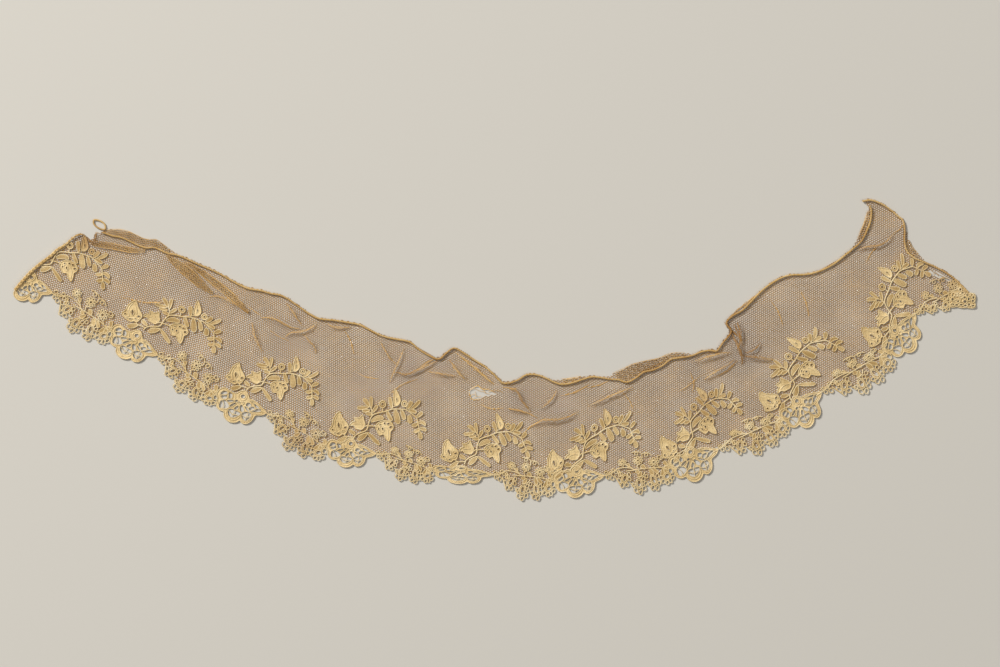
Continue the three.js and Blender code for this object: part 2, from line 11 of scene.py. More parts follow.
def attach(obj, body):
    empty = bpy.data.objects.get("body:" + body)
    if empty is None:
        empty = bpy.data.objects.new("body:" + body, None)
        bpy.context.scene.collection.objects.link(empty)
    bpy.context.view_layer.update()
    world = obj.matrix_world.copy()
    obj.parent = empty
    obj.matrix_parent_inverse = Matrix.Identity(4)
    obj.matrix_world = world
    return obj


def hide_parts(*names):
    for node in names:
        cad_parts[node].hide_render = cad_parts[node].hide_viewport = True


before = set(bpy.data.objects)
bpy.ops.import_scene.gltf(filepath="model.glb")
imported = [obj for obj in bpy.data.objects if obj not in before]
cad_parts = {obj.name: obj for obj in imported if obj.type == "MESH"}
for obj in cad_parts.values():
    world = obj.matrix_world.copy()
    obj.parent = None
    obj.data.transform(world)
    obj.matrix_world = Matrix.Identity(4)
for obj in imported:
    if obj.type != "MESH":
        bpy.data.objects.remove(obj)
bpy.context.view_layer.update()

bl_info = {
    "name": "Lace collar",
    "version": (1, 0, 0),
    "blender": (4, 5, 0),
    "location": "View3D > Sidebar > Collar",
    "description": "Works a net collar with applied sprays and a scalloped lace border",
    "category": "Object",
}

# Places in the tables, the sizes of leaves, loops, holes and flowers and the reach of stains are
# in pixels of the photograph. Every other length is in millimetres, unless it says metres.
MM_PER_PX = 0.6
PHOTO_SIZE = (1000, 667)
MIDDLE = (493.5, 349.5)  # the pixel that lies at the frame's origin
MM = 0.001

# The neck edge from left to right, with how far it is turned over onto the net
NECK = [
    (102, 231, 0), (106, 229.5, 2.6), (113, 229.3, 4), (121, 229.5, 4.6), (130, 232, 5),
    (138, 236, 5), (147, 239.5, 5), (156, 239.5, 4.8), (163, 244, 4), (170, 249, 3),
    (178, 253.5, 0.8), (187, 257, 0), (200, 263, 0), (212, 268, 0), (224, 274, 0),
    (238, 282, 0), (250, 287, 0), (262, 289, 0), (272, 292, 0), (281, 293.5, 0),
    (290, 298, 0), (301, 306, 0), (311, 312.5, 0), (320, 317, 0), (334, 318.5, 0),
    (348, 320.8, 0), (360, 323, 0), (370, 328, 0), (381, 333.4, 0), (392, 336.6, 0),
    (410, 340, 0), (420, 348, 0), (432, 355, 0), (439, 357, 0), (446, 351, 0),
    (454, 346, 0), (463, 350.5, 0), (474, 357.5, 0), (487, 366, 0), (496, 374, 0),
    (503, 381, 0), (510, 381, 0), (518, 378, 0), (526, 373, 0), (537, 373, 0),
    (547, 376.5, 0), (554, 380, 1.2), (561, 379, 3.2), (571, 378, 3), (581, 376, 2.3),
    (592, 375, 0.8), (602, 376, 0), (609, 376.5, 1.6), (614, 372.5, 5), (621, 369.5, 8.4),
    (631, 364.7, 8.4), (641, 361.8, 6.4), (651, 359.8, 6.2), (660, 357.6, 5), (668, 354, 3.6),
    (676, 352.5, 3.4), (685, 352.5, 2.8), (692, 353.6, 1), (701, 350, 0), (710, 348.6, 0),
    (716, 349, 0), (721, 342, 0), (729, 332, 0), (725.5, 326, 0), (725, 320.5, 0),
    (732, 314, 0), (741, 309, 0), (751, 299, 0), (761, 289, 0), (771, 281.5, 0),
    (781, 276, 0), (791, 273.2, 0), (802, 273, 0), (813, 271.3, 0), (823, 267.7, 0),
    (833, 262.3, 0), (843, 254.5, 0), (851, 248, 0), (857, 238.5, 3), (861.5, 229, 3.3),
    (865, 219.5, 3.3), (867.5, 210.5, 2.2), (867.5, 206, 1),
]
RIGHT_END = [
    (862, 199.5, 0), (870, 198.3, 0), (878, 200.5, 0), (885, 204, 0), (892, 209, 0),
    (899, 215, 0), (904.5, 220, 0), (906.5, 230, 1.2), (909, 240, 3), (913, 248, 4.2),
    (919, 254.5, 3.4), (927, 261.5, 0.6), (937, 266, 0), (947, 271.5, 0), (956, 278, 0),
    (963, 285, 0), (969, 291, 0),
]
LEFT_END = [
    (14, 289, 0), (20, 281.5, 0), (30, 270.5, 0), (40, 262, 0), (50, 254.5, 0), (57, 248, 0),
    (65, 243, 0), (72, 236.5, 0), (78, 233, 0), (83, 232.5, 0),
]
LEFT_PUCKER = [(86, 236), (91.5, 239.5), (95, 233), (98.5, 235.5)]

# Tucks, where the net lies pleated on itself: middle line and width
TUCKS = [
    [(166, 254.5, 1), (176, 263, 4), (188, 272.5, 5.6), (200, 283.5, 4.6), (213.5, 294, 1)],
    [(184, 261.5, 1), (196, 268.5, 2.4), (208, 277, 3.4), (222, 288, 4), (236, 300, 3.4),
     (249, 313, 1.6)],
    [(90, 243, 1.6), (100, 244.5, 3.4), (114, 246.5, 3.4), (130, 250, 3), (146, 251, 2.2)],
]
# Creases that stand up from the net: width, height and line
CREASES = [
    (2, 0.8, [(147, 302), (157, 303), (163, 302)]),
    (2.4, 1, [(208, 297), (218, 296), (228, 300), (237, 304.5), (250, 314)]),
    (2.4, 1.4, [(252, 322), (254, 334), (258, 344), (262.5, 352)]),
    (2.6, 1.6, [(260, 318), (272, 318), (282, 323), (290, 327), (300, 329)]),
    (2.4, 1.4, [(317, 322), (311, 328.5), (302, 332), (291, 333), (284.5, 338)]),
    (2.2, 1.2, [(303, 334), (310, 341), (315, 348), (316, 354)]),
    (2, 1, [(286, 303), (292, 310), (298, 319), (302, 326)]),
    (2.2, 1.2, [(327, 323), (333, 326.5), (341, 327.5), (351, 327)]),
    (2.2, 1.2, [(380, 341), (385, 350), (391, 359), (397, 365)]),
    (2.2, 1.4, [(404, 348), (399, 361), (393, 374), (389.5, 383)]),
    (2.8, 1.8, [(438, 361), (430, 364), (420, 369), (408, 374), (394, 372)]),
    (2.4, 1.4, [(428, 371.5), (440, 373.5), (456, 376)]),
    (2.8, 1.8, [(449, 359), (456, 369), (466, 380.5)]),
    (2.4, 1.4, [(471, 364), (482, 375), (494, 384.5)]),
    (2.6, 1.8, [(507, 388), (517, 391), (522, 401), (531, 412)]),
    (2.2, 1.2, [(507, 408.5), (518, 410.5), (530, 413.5)]),
    (3.2, 2.2, [(531, 427), (543, 420), (556, 420), (568, 417), (579, 411.5)]),
    (2.4, 1.6, [(557, 390), (551, 400), (541, 408.5)]),
    (2.6, 1.6, [(633, 387), (616, 394), (600, 401), (588, 406)]),
    (3.2, 2.6, [(732, 333), (735, 341), (740, 351), (742.5, 364)]),
    (2.8, 2.4, [(737, 322), (740, 333), (742, 346)]),
    (2.8, 2.2, [(744, 356), (758, 357.5), (774, 359.5)]),
    (2.6, 2, [(746, 353), (754, 349.5), (760.5, 343)]),
    (3, 2.2, [(735, 359), (726, 366), (714, 372.5), (704, 380)]),
    (2.8, 2, [(732, 353), (722, 353.5), (706, 358), (692, 362)]),
    (2.4, 1.6, [(857, 251), (866, 247), (878, 246), (887, 241), (894, 233)]),
]
# Fine creases that hardly stand up: width and line
FINE_CREASES = [
    (1.2, [(120, 297), (133, 300), (147, 303), (160, 302.5), (176, 301)]),
    (1.4, [(246, 305), (256, 312), (262, 317)]),
    (1.8, [(190, 262), (197, 270), (210, 283), (222, 293)]),
    (1.3, [(404, 375.5), (412, 373), (418, 369)]),
    (1.3, [(418, 379), (409, 382), (400, 386), (388, 396)]),
    (1.2, [(437, 358), (429, 361.5), (420, 367)]),
    (4.2, [(455, 352), (468, 362), (482, 374), (495, 385)]),
    (1.4, [(502, 387), (510, 388), (518, 389)]), (1.4, [(540, 421), (532, 425), (524, 433)]),
    (1.6, [(508, 408), (524, 412), (538, 418)]), (2.4, [(724, 322), (730, 330), (740, 338)]),
    (2, [(734, 324), (740, 340), (738, 348), (743, 357), (741, 365)]),
    (1.6, [(738, 360), (728, 370), (718, 376)]), (2.4, [(760, 292), (744, 305), (728, 318)]),
    (1.4, [(700, 376), (690, 384), (680, 391)]), (1.2, [(586, 388), (600, 385), (612, 379)]),
    (1.2, [(640, 372), (655, 366), (668, 358)]), (1.3, [(345, 331), (351, 342), (354, 354)]),
    (1.2, [(270, 330), (278, 336), (289, 341)]), (1.2, [(894, 233), (900, 229), (903, 224)]),
    (1.3, [(866, 262), (872, 252), (878, 246)]), (1.2, [(560, 396), (576, 392), (590, 384)]),
    (1.2, [(770, 300), (778, 312), (783, 326)]), (1.1, [(800, 290), (806, 303), (809, 318)]),
    (1.2, [(622, 392), (629, 400), (633, 409)]), (1.2, [(690, 372), (694, 384), (692, 392)]),
    (1.2, [(480, 404), (491, 409), (504, 408)]), (1.1, [(356, 372), (366, 377), (380, 379)]),
]
TEARS = [
    [(469, 390), (473, 387), (478, 386), (481, 389), (488, 390), (496, 394.5), (489, 395),
     (481, 397.5), (473, 400), (470, 397)],
    [(929, 270), (938, 272.5), (947, 277), (951, 281), (944, 280), (936, 276.5), (929, 274)],
]
# Threads that hang loose at the rim of the rip and in the slit
LOOSE_THREADS = [
    [(469, 391), (474, 388.5), (480, 391), (486, 392)],
    [(470, 396), (474, 394), (477, 396.5), (481, 396)],
    [(488, 392), (494, 390.5), (500, 391), (503, 393)],
    [(472, 399), (476, 396), (475, 391.5)],
    [(484, 389.5), (485, 393), (490, 394)],
    [(931, 270.5), (937, 274), (944, 277), (950, 280)],
    [(933, 274.5), (936, 272.5), (938, 276)],
]
# Bunches of ravelled or puckered net: width and line
RAVELLED = [
    (0.7, [(469, 392), (472, 388), (478, 386), (482, 389), (488, 389.5), (495, 393)]),
    (0.6, [(469, 391), (470, 396), (473, 400), (480, 398.5)]),
    (1.6, [(84, 234), (87, 239), (92, 241.5), (96, 238.5), (96.5, 233), (101, 234)]),
    (1.2, [(83.5, 234), (84.5, 240), (84, 245)]),
]
# Browned places: middle, reach and strength
STAINS = [
    (735, 332, 26, 0.8), (745, 352, 20, 0.9), (726, 366, 16, 0.5), (440, 352, 18, 0.5),
    (862, 240, 16, 0.4), (152, 248, 24, 0.2), (92, 238, 14, 0.8), (410, 372, 14, 0.5),
    (280, 322, 22, 0.25), (207, 280, 30, 0.12), (650, 368, 24, 0.4), (517, 396, 14, 0.6),
    (905, 236, 12, 0.5), (942, 274, 16, 0.5), (560, 415, 16, 0.4), (300, 440, 18, 0.3),
    (600, 400, 18, 0.3), (690, 362, 16, 0.4), (880, 244, 18, 0.4), (700, 400, 22, 0.3),
]

# One spray, drawn on the third one from the left.
# Leaves: root, tip, width in pixels and how far the middle bows to the left of the leaf's travel
LEAVES = [
    (241.5, 386, 231.3, 388.8, 4.4, 0.4), (249.8, 386, 245, 381.3, 3.8, 0),
    (262, 387.8, 251.2, 391.8, 4.2, 0.3), (262.5, 388, 271, 400.6, 3.8, 0),
    (267.5, 379, 280, 378.6, 4.6, 1.2), (268.3, 365.8, 257, 364, 3.4, 0.6),
    (268.6, 366, 264.4, 357.8, 3.8, -0.6), (270.2, 367.5, 272.3, 357.8, 3, 0),
    (268.4, 369, 261.2, 367.6, 3, 0.3), (269.8, 373, 264.2, 370.4, 3.4, 0),
    (270.6, 371.4, 276.6, 366.8, 3.2, 0), (290, 372.6, 289.8, 362.6, 3.8, 0),
    (284.6, 373, 287.6, 383, 3.8, -0.5),
    (292.6, 374, 293.3, 387.2, 5.6, 0), (298.6, 376, 300, 385, 4.2, 0),
    (304.2, 376.6, 310.2, 371.2, 3.8, 0), (308, 377.6, 318.2, 372.4, 3.4, -0.5),
    (306, 377.6, 312.6, 381.6, 3.4, 0), (305, 382.2, 304.8, 389.4, 5, 0),
    (312.4, 385.8, 318.4, 383, 3.6, 0), (312.2, 391.4, 306, 392, 3.4, 0.4),
    (312.4, 390.8, 319, 394.6, 3.4, 1.4), (312.4, 396.4, 306.6, 398, 3.4, 0.3),
    (312.6, 396.4, 318.6, 399.2, 3.4, 0.6), (312.2, 398.8, 311.8, 405.4, 4.2, 0),
]
SPRAY_RINGS = [(281.8, 366.8, 3.6, 1.3), (302.8, 371.4, 3.3, 0.9)]  # middle, outer, hole
# Stems: half the cord's thickness and its path
SPRAY_STEMS = [
    (0.38, [(246.7, 390.4), (250, 387.2), (256, 386), (262, 385), (265.5, 379), (270, 374),
            (276, 373.3), (283, 373.7), (290, 373.3), (297, 375), (303, 377), (308, 382),
            (311.8, 386.5), (312.1, 391), (312.3, 398.4)]),
    (0.36, [(262, 385.4), (263.5, 382.4), (266.4, 382.6), (269, 383.4), (273, 384.6)]),
    (0.36, [(239.6, 383.5), (240.4, 386), (244, 387), (248.6, 388.6)]),
    (0.36, [(257.5, 383.4), (260.4, 381.8), (263.5, 381.4)]),
    (0.36, [(269.8, 374), (270.4, 369), (269, 365.4)]),
    (0.34, [(281, 370.4), (280.2, 373.4)]),
    (0.34, [(252.5, 388.4), (257, 387.6), (262, 388)]),
]
# Plates of clothwork: outline, holes as (x, y, half length, half width), and raised ribs
PLATES = [
    (
        [(239.3, 362.8), (234.2, 365.6), (231.2, 369.4), (229.5, 373.4), (226, 376.2),
         (228, 379.8), (231, 382.2), (234.6, 384), (237.4, 382.8), (240, 383.8), (243, 380.8),
         (245, 377.4), (243.4, 373.4), (240.6, 368.2)],
        [(236, 375, 0.8, 2.3), (229.2, 377, 0.5, 0.5), (241.9, 378, 0.9, 0.6), (234, 381.4, 0.8, 0.4),
         (238.4, 380.6, 0.6, 0.4), (231, 380.2, 0.5, 0.4)],
        [[(236.4, 365.6), (233.4, 369.6), (232.2, 374), (232.8, 379)],
         [(238.4, 366), (239.6, 371), (240.2, 376)],
         [(228.6, 379), (232, 380.6), (236, 380), (240, 381.4), (243, 379.4)],
         [(236, 371.6), (233.8, 374.4), (236, 377.6), (238.2, 374.4), (236, 371.6)]],
    ),
    (
        [(270.8, 384), (274.4, 381.6), (279.8, 381.2), (284.6, 382.2), (287, 385), (288, 388),
         (286.6, 390.6), (284, 392), (283, 396), (280.6, 400.2), (278, 396), (277, 392.4),
         (273, 392.6), (271.4, 388.4)],
        [(280.2, 383.6, 0.6, 0.5), (283.6, 384.8, 0.8, 0.6), (285.2, 388.2, 0.9, 0.7),
         (277.2, 387.8, 0.5, 0.7), (273.4, 387, 0.4, 0.6), (275.6, 383.8, 0.4, 0.3)],
        [[(274.4, 386), (276.4, 384.8), (278.6, 386.6), (278.6, 389.4), (276.4, 390.6),
          (274.6, 389), (274.4, 386)],
         [(280.8, 387), (282, 390), (281.6, 394), (280.6, 397.6)]],
    ),
    (
        [(246, 377.4), (249.4, 374.8), (252.2, 375), (252, 371.4), (255.4, 372.8), (258, 372.8),
         (260.8, 371.2), (260.8, 376), (261.4, 379.6), (257.2, 383.6), (254, 382.4),
         (251, 380.8), (250, 378)],
        [],
        [[(259.6, 381), (256, 378), (251, 377)], [(258, 379.6), (256.4, 375.6)]],
    ),
    (
        [(296.6, 356.2), (294.8, 360), (293.6, 364), (292.8, 367.6), (293.4, 371), (296.4, 371.2),
         (299.2, 368.6), (299.6, 365.4), (298.6, 361)],
        [(296.2, 366, 0.3, 0.8)],
        [[(290, 371.6), (293, 371.4), (296.6, 371.6)], [(296.4, 360), (295.4, 364), (295.2, 368.6)]],
    ),
]
SPRAY_MARKS = [(238, 362), (311, 404), (280, 400), (296, 357), (246, 390)]
# Where each spray has its upright bell's tip, fern tip, hanging bell's tip, crest and foot
SPRAYS = [
    [None, (103, 285), (69, 286), (84, 236), (36, 266)],
    [(139, 300), (216, 351), (178, 345), (195, 301), (140, 328)],
    [(238, 362), (311, 404), (280, 400), (296, 357), (246, 390)],
    [(341, 408), (421, 437), (389, 440), (393, 391), (349, 443)],
    [(447, 437), (527, 457), (500, 460), (496, 415), (462, 467)],
    [(555, 447), (637, 446), (606, 460), (602, 411), (565, 475)],
    [(661, 434), (741, 412), (715, 434), (696, 390), (685, 455)],
    [(758, 394), (842, 352), (820, 374), (787, 338), (790, 400)],
    [(861, 327), (929, 276), (913, 303), (878, 269), (890, 335)],
]

# One flowered scallop, drawn on the second one from the left.
# Flowers: middle, reach of the petals' middles, petals' size, how many, hole in the middle
FLOWERS = [
    (182.4, 356, 3.5, 1.9, 7, 0.9), (196.6, 365.5, 4, 2, 8, 1.2), (208, 378.6, 4.3, 2.1, 8, 1.4),
]
# Rosettes: middle of the hole, its half length and half width, turn in degrees
ROSETTES = [
    (173, 371, 2.6, 1.5, -20), (182, 384, 2.6, 1.8, -45), (196.2, 391.6, 1.5, 3.1, 10),
    (209.6, 398.2, 2.4, 1.7, 10),
]
# Loops of thick cord: middle of the hole, its half length and half width, turn in degrees
SCALLOP_RINGS = [
    (161.4, 354, 1.3, 0.8, 10), (164.4, 357.8, 1.2, 0.9, 0), (159.6, 358.6, 0.8, 0.9, 0),
    (163, 362.3, 1.1, 1.2, 0), (169, 356.6, 0.9, 0.8, 0), (169.6, 360.8, 0.8, 0.9, 0),
    (171.8, 365.4, 1.7, 0.9, 0), (167.4, 368.6, 0.6, 1.7, 0), (167, 373.6, 1.4, 0.9, -30),
    (170.9, 376.3, 1.3, 0.8, 30), (176.6, 374.6, 0.8, 1, 0), (179, 371.4, 0.8, 1, 0),
    (176.5, 381, 1, 0.9, 0), (175.4, 386.3, 1.2, 1.6, -10), (178.2, 390.5, 1.5, 0.9, -15),
    (183.4, 390.6, 1.3, 1.2, 0), (187.6, 388.3, 1.3, 0.8, 0), (188.4, 384, 1, 0.9, 0),
    (192.4, 384.4, 0.8, 0.8, 0), (190.6, 392, 1, 0.8, 40), (191, 396.2, 1.6, 1, 0),
    (194.6, 399.4, 1.5, 0.9, -20), (199, 397.4, 0.7, 1, 0), (201.8, 391.4, 0.9, 0.8, 0),
    (203.6, 395, 0.9, 0.8, 0), (203.4, 399.2, 1.3, 0.9, 0), (206.1, 402.8, 1.1, 0.9, 0),
    (209.7, 403.6, 0.7, 1.3, 0), (213.4, 403, 1.3, 0.8, -15), (215.6, 397.4, 1.4, 1.6, 0),
    (213.6, 392, 0.8, 0.8, 0), (200.8, 357.7, 1, 1, 0), (207.8, 366, 1.1, 1, 0),
    (216.4, 377.6, 1, 1.4, -40),
]
SCALLOP_LEAVES = [
    (195.6, 379, 195.6, 372.6, 4.6, 0), (188.6, 377.6, 187, 373.6, 4, 0),
    (215.8, 391.4, 216.7, 385.2, 3.8, 0), (184.6, 365.6, 185.6, 361, 3.6, 0),
    (191, 378, 185.4, 379.8, 3.6, 0), (199.6, 381.4, 198.6, 388.6, 4.4, 0),
    (202, 383.4, 204.4, 390.4, 3.6, 0), (211.4, 390.6, 205.4, 394.4, 3.8, 0.4),
    (212.2, 391, 210.6, 396.4, 4.2, 0), (212.8, 391, 215.6, 394.2, 3.4, 0),
    (173.4, 360.4, 170.2, 366.4, 3, 0),
]
SCALLOP_STEMS = [
    (0.34, [(152, 352), (160, 356.6), (167, 358.6), (173, 358.5), (178, 361), (182, 364.4),
            (185, 368.4), (187, 372.4), (190.5, 374.8), (194, 377.2), (198, 380),
            (202, 382.8), (206, 385.6), (209.4, 388.6), (213.4, 391), (217.4, 392)]),
    (0.36, [(178.4, 367), (182, 369.6), (185, 371.6), (188.6, 373.4)]),
    (0.34, [(183, 361), (185, 365), (186, 369.4)]),
    (0.34, [(190.8, 373.6), (191, 370.8), (193, 369.6), (195.4, 370.6)]),
    (0.34, [(208.2, 384), (209, 388)]),
    (0.3, [(202.6, 366), (204.6, 362.6), (204.8, 359.4), (203, 356.4), (200.8, 354.4),
           (197.6, 353.2)]),
    (0.3, [(204.8, 361.8), (208.4, 363), (211.2, 366.2), (211.8, 370.4)]),
    (0.3, [(213.6, 380.6), (217.4, 381.6), (219.4, 378.4)]),
    (0.4, [(166.4, 362), (166, 367), (165.4, 373)]),
    (0.34, [(174.6, 377.2), (176, 380), (176, 384)]),
    (0.34, [(188.6, 390.6), (189.2, 394)]),
    (0.34, [(199.8, 399), (202.4, 396.4)]),
    (0.34, [(184, 378.8), (189.6, 381.6), (194, 380.6)]),
]
SCALLOP_ENDS = ((157, 354), (217, 392))
# Where each scallop lies, end to end, and how it is stretched towards the neck and outwards
SCALLOPS = [
    ((52, 292), (112, 328), 1, 1.2), ((157, 354), (217, 392), 1, 1),
    ((266, 412), (326, 445), 0.85, 1.15), ((375, 453), (432, 468), 0.8, 1.15),
    ((492, 474), (552, 478), 0.95, 1.35), ((603, 475), (668, 465), 0.85, 1.25),
    ((717, 449), (780, 418), 0.6, 1.15), ((820, 392), (884, 352), 0.6, 1.15),
    ((914, 314), (966, 283), 1, 0.8),
]

# One openwork fan, drawn on the second one from the left
FAN_OUTLINE = [
    (217.6, 399), (216.8, 394.4), (218.4, 390.4), (221.6, 388.2), (225.4, 388), (229, 390.2),
    (232.6, 392.4), (236.4, 393.2), (240, 391.4), (244, 390.6), (247, 392.2), (248.6, 396),
    (249.8, 399), (252.8, 399.8), (256.4, 402.2), (260, 405.4), (263.4, 409), (267, 412.6),
    (262, 415), (256.6, 415), (254.6, 416), (252.6, 419.4), (249.2, 422.6), (245, 423.8),
    (241.8, 422.8), (240, 420.2), (237, 421.8), (233, 422.4), (228.8, 421.4), (225.4, 418.4),
    (224, 414.6), (224.2, 411.4), (220.2, 410.2), (217.2, 407.4), (216.2, 403.2),
]
# The cells between its bars
FAN_CELLS = [
    [(221.6, 392.6), (223.6, 391), (226.4, 391.4), (226.9, 393.6), (224, 394.3), (221.7, 394.2)],
    [(221.8, 395.7), (224.6, 395.4), (227, 395.5), (226.4, 397.8), (224.4, 398.6), (222.4, 397.8)],
    [(229, 393.4), (230.6, 392.6), (232, 394), (232.3, 396.6), (231.2, 398), (229.4, 397.8),
     (228.6, 396)],
    [(227.6, 400.4), (230, 399.8), (233, 400), (232.8, 401.4), (230, 402), (228.2, 401.6)],
    [(235.4, 400.6), (237, 400), (237.9, 401.2), (236.4, 402.2)],
    [(221.4, 400.8), (224.6, 400.2), (226.4, 401.6), (228.2, 404), (228.6, 406.6), (226.2, 408),
     (222.6, 408), (220, 407.2), (219.6, 404.6), (220.4, 402.2)],
    [(230.4, 405), (232.4, 403.6), (235, 402.6), (236.2, 403), (234.6, 404.8), (232, 406.2),
     (230.4, 406.5)],
    [(234.6, 408), (236.2, 406.5), (237.9, 406), (238.3, 407.6), (237, 409.2), (235.2, 409.4)],
    [(240.4, 406), (242, 405.5), (243.2, 407.6), (243.8, 410), (242.8, 411.3), (241, 411.1),
     (240, 408.6)],
    [(228.4, 410), (230.4, 408.8), (233, 409.4), (236, 410.8), (239, 412.2), (239.8, 414),
     (237.6, 415.8), (234.4, 417), (231, 416.8), (229, 415), (228.2, 412.4)],
    [(242, 414), (244, 412.4), (246.6, 412), (249, 412.8), (250.8, 413.8), (250.4, 416.4), (248.6, 419),
     (246.2, 420.4), (244, 419.6), (242.2, 417.4)],
    [(246.5, 404.3), (248, 402.9), (249.9, 403.5), (250.7, 405), (249, 406.4), (247, 406)],
    [(249.3, 408.4), (250.8, 406.8), (253, 406.9), (254.6, 408.2), (253, 409.5), (250.6, 410.2)],
    [(254.8, 404.2), (256.6, 404.4), (258.5, 406.2), (258.8, 407.8), (256.8, 407.8), (255.2, 406.2)],
    [(251.6, 411.4), (253.6, 410.6), (256, 409.2), (258.6, 409), (261.2, 410), (260.4, 411.4),
     (257, 412.1), (253.4, 412.1)],
    [(245.2, 406.6), (246.6, 407.4), (248.8, 410), (249.4, 411.5), (247.8, 411.1), (245.7, 408.6)],
    [(251, 401.2), (252.6, 401), (254.2, 402.5), (252.4, 402.8)],
    [(241.4, 396.3), (242.2, 395), (244, 394.9), (244.9, 396.3), (244, 397.7), (242.2, 397.7)],
    [(239, 402.2), (240, 401.9), (239.8, 403.6)], [(243, 402), (244, 402.2), (243.6, 403.6)],
]
# Cords laid on it, as rings and as lines with half their thickness, and the brides in its holes
FAN_RINGS = [(243, 396.3, 4.2, 3.9, 0), (224.2, 394.8, 4.6, 4.7, 0), (242, 403, 2, 1.6, 0)]
FAN_CORDS = [
    (0.26, [(226.2, 411.4), (226.3, 415), (229, 418.8), (233.2, 420), (237.4, 418.8), (240.4, 416)]),
    (0.26, [(252.4, 414.2), (251.4, 418), (248.6, 421.2), (245, 422.2), (242.4, 420.6)]),
    (0.26, [(251, 401), (255.4, 403.8), (259.4, 407), (262.4, 410.4), (265, 412.8)]),
    (0.24, [(218.8, 400.6), (218, 404.4), (219.8, 408), (223, 409.4), (227.6, 408.6)]),
    (0.24, [(252, 413.4), (257, 413.8), (262, 413.6)]),
    (0.22, [(235, 394.4), (235.6, 397), (235.2, 399.2)]),
    (0.2, [(222.8, 400.4), (223.8, 404.6), (222.2, 408.2)]),
    (0.22, [(228.4, 409.8), (232, 413.8), (237.4, 415)]),
    (0.22, [(235.2, 410), (233.4, 413.8), (231.8, 415.6)]),
    (0.22, [(241.8, 414.8), (245.2, 417.2), (249.6, 416.6)]),
    (0.22, [(247.8, 412.8), (246.4, 416.8), (244.6, 419.6)]),
]
FAN_ENDS = ((217, 392), (266, 412))
FANS = [
    ((8, 273), (52, 292), 1, 1), ((112, 328), (157, 354), 1, 0.95), ((217, 392), (266, 412), 1, 1),
    ((326, 445), (375, 453), 1, 0.88), ((432, 468), (492, 474), 0.4, 0.5),
    ((552, 478), (603, 475), 1, 0.95), ((668, 465), (717, 449), 1, 1.1),
    ((780, 418), (820, 392), 1, 1.15), ((884, 352), (914, 314), 1, 1.1),
]
NET_BEHIND_FAN = [(222, 391), (234, 395), (246, 395), (256, 404)]
NET_BEHIND_SCALLOP = [(163, 359.5), (171.5, 371.5), (181.7, 385), (195, 392), (209.5, 398.3)]
PAST_LEFT = [(83, 180), (-40, 180), (-40, 310), (6, 297)]
PAST_RIGHT = [(974, 294), (990, 280), (960, 240)]

# The border's last bit, folded over: outline and holes
FOLDED_CORNER = [
    (949, 291), (954.6, 290.6), (957.8, 288), (957, 284.4), (959.4, 281.4), (963, 283.8),
    (967, 288), (971, 289.6), (974.4, 293.8), (975.4, 298), (974.6, 302.6), (975.4, 306.6),
    (972.6, 308.2), (966, 307.6), (961, 307.8), (956, 306.6), (952, 307.4), (948.6, 304.8),
    (950.6, 300.6), (948.6, 296),
]
# Its loops: middle of the hole, its half length and half width, turn in degrees
FOLDED_LOOPS = [
    (957.4, 301, 1.7, 1, 10), (964.8, 301.6, 1.2, 1, 0), (962.6, 293.2, 1, 0.7, 0),
    (967.4, 294.8, 0.9, 0.8, 0), (952.2, 304.6, 1.2, 0.8, 0), (972.7, 305.8, 0.8, 0.6, 0),
    (972.6, 301, 0.8, 0.7, 0), (968.6, 299, 0.7, 0.9, 0), (961.4, 285.4, 0.7, 0.9, 0),
    (953, 294.6, 0.9, 1.1, 20), (968.8, 304.6, 0.8, 0.8, 0), (971.8, 294.8, 0.7, 0.9, 40),
    (960.4, 297, 0.7, 0.6, 0), (961, 304.8, 0.9, 0.6, 0), (956.2, 295, 0.7, 0.7, 0),
    (965.4, 290, 0.9, 0.7, 30), (960.2, 289.6, 0.8, 0.8, 0), (952.4, 299.4, 0.8, 1, 0),
    (956.6, 305, 0.9, 0.6, 0), (964.4, 297.4, 0.8, 0.6, 0), (969.4, 290.8, 0.6, 0.7, 0),
    (973.2, 297.6, 0.7, 0.8, 0), (965.2, 305.6, 0.8, 0.6, 0),
]

# Heights of the middles of cords and clothwork above the middle of the net
OUTLINE_LIFT = 0.5
STEM_LIFT = 0.45
BRIDE_LIFT = 0.48
RING_LIFT = 0.55
EYE_LIFT = 0.6  # the thick ring in the middle of a flower
FOLDED_LIFT = 0.75
LEAF_LIFT = 0.44
BAND_LIFT = 0.35  # the clothwork of a rosette
RING_BAND_LIFT = 0.4
PLATE_LOW, PLATE_HIGH = 0.15, 0.4  # the two faces of a plate
HEM_LIFT = 0.8
BRAID_LIFT = 1.05
LOOP_HEIGHT = 0.55  # above the table

# Bunches of net thread: their heights, their width as a share of their crease's, and their
# width along the edge of a tuck or a flap
BUNCH_LIFTS = {"crease": 0.2, "fine": 0.1, "tuck": 0.9, "flap": 0.4, "ravel": 0.3}
BUNCH_WIDTH = 0.6
EDGE_BUNCH = 0.4

# Thicknesses as shares of the lace cord's, of the net thread's or of the hem's
LEAF_CORD, FAN_RING_CORD, INNER_RING_CORD = 0.85, 0.85, 0.8
HOLE_CORD, RIB_CORD = 0.66, 0.75
EYE_CORD, FOLDED_CORD = 1.3, 1.2
CREASE_THREAD, FOLD_THREAD, RAVEL_THREAD = 0.62, 0.8, 0.7
PINCHED = 0.3  # what is left of a strand's thickness where an end hem holds it
BRAID_ROLL = 1.35  # the left end's braid against the neck hem

# Halves of thicknesses in millimetres
LEAST_LEAF = 0.15
ROSETTE_BAND = 0.45
WHIPPING = 0.2
LOOP_THREAD = 0.52

# How a plate is coloured: its tone, and the painted side shade it gets as if it faced this much upward on
# a cord
PLATE_TONE, PLATE_FACING_FOR_PAINTED_SHADE = 0.4, 0.2
# More layers of net, where it is folded: how far they are turned, in radians, and how high they lie
FLAP_LAYERS = [(0.65, 0.55)]
TUCK_LAYERS = [(0.4, 0.5), (0.9, 0.9)]

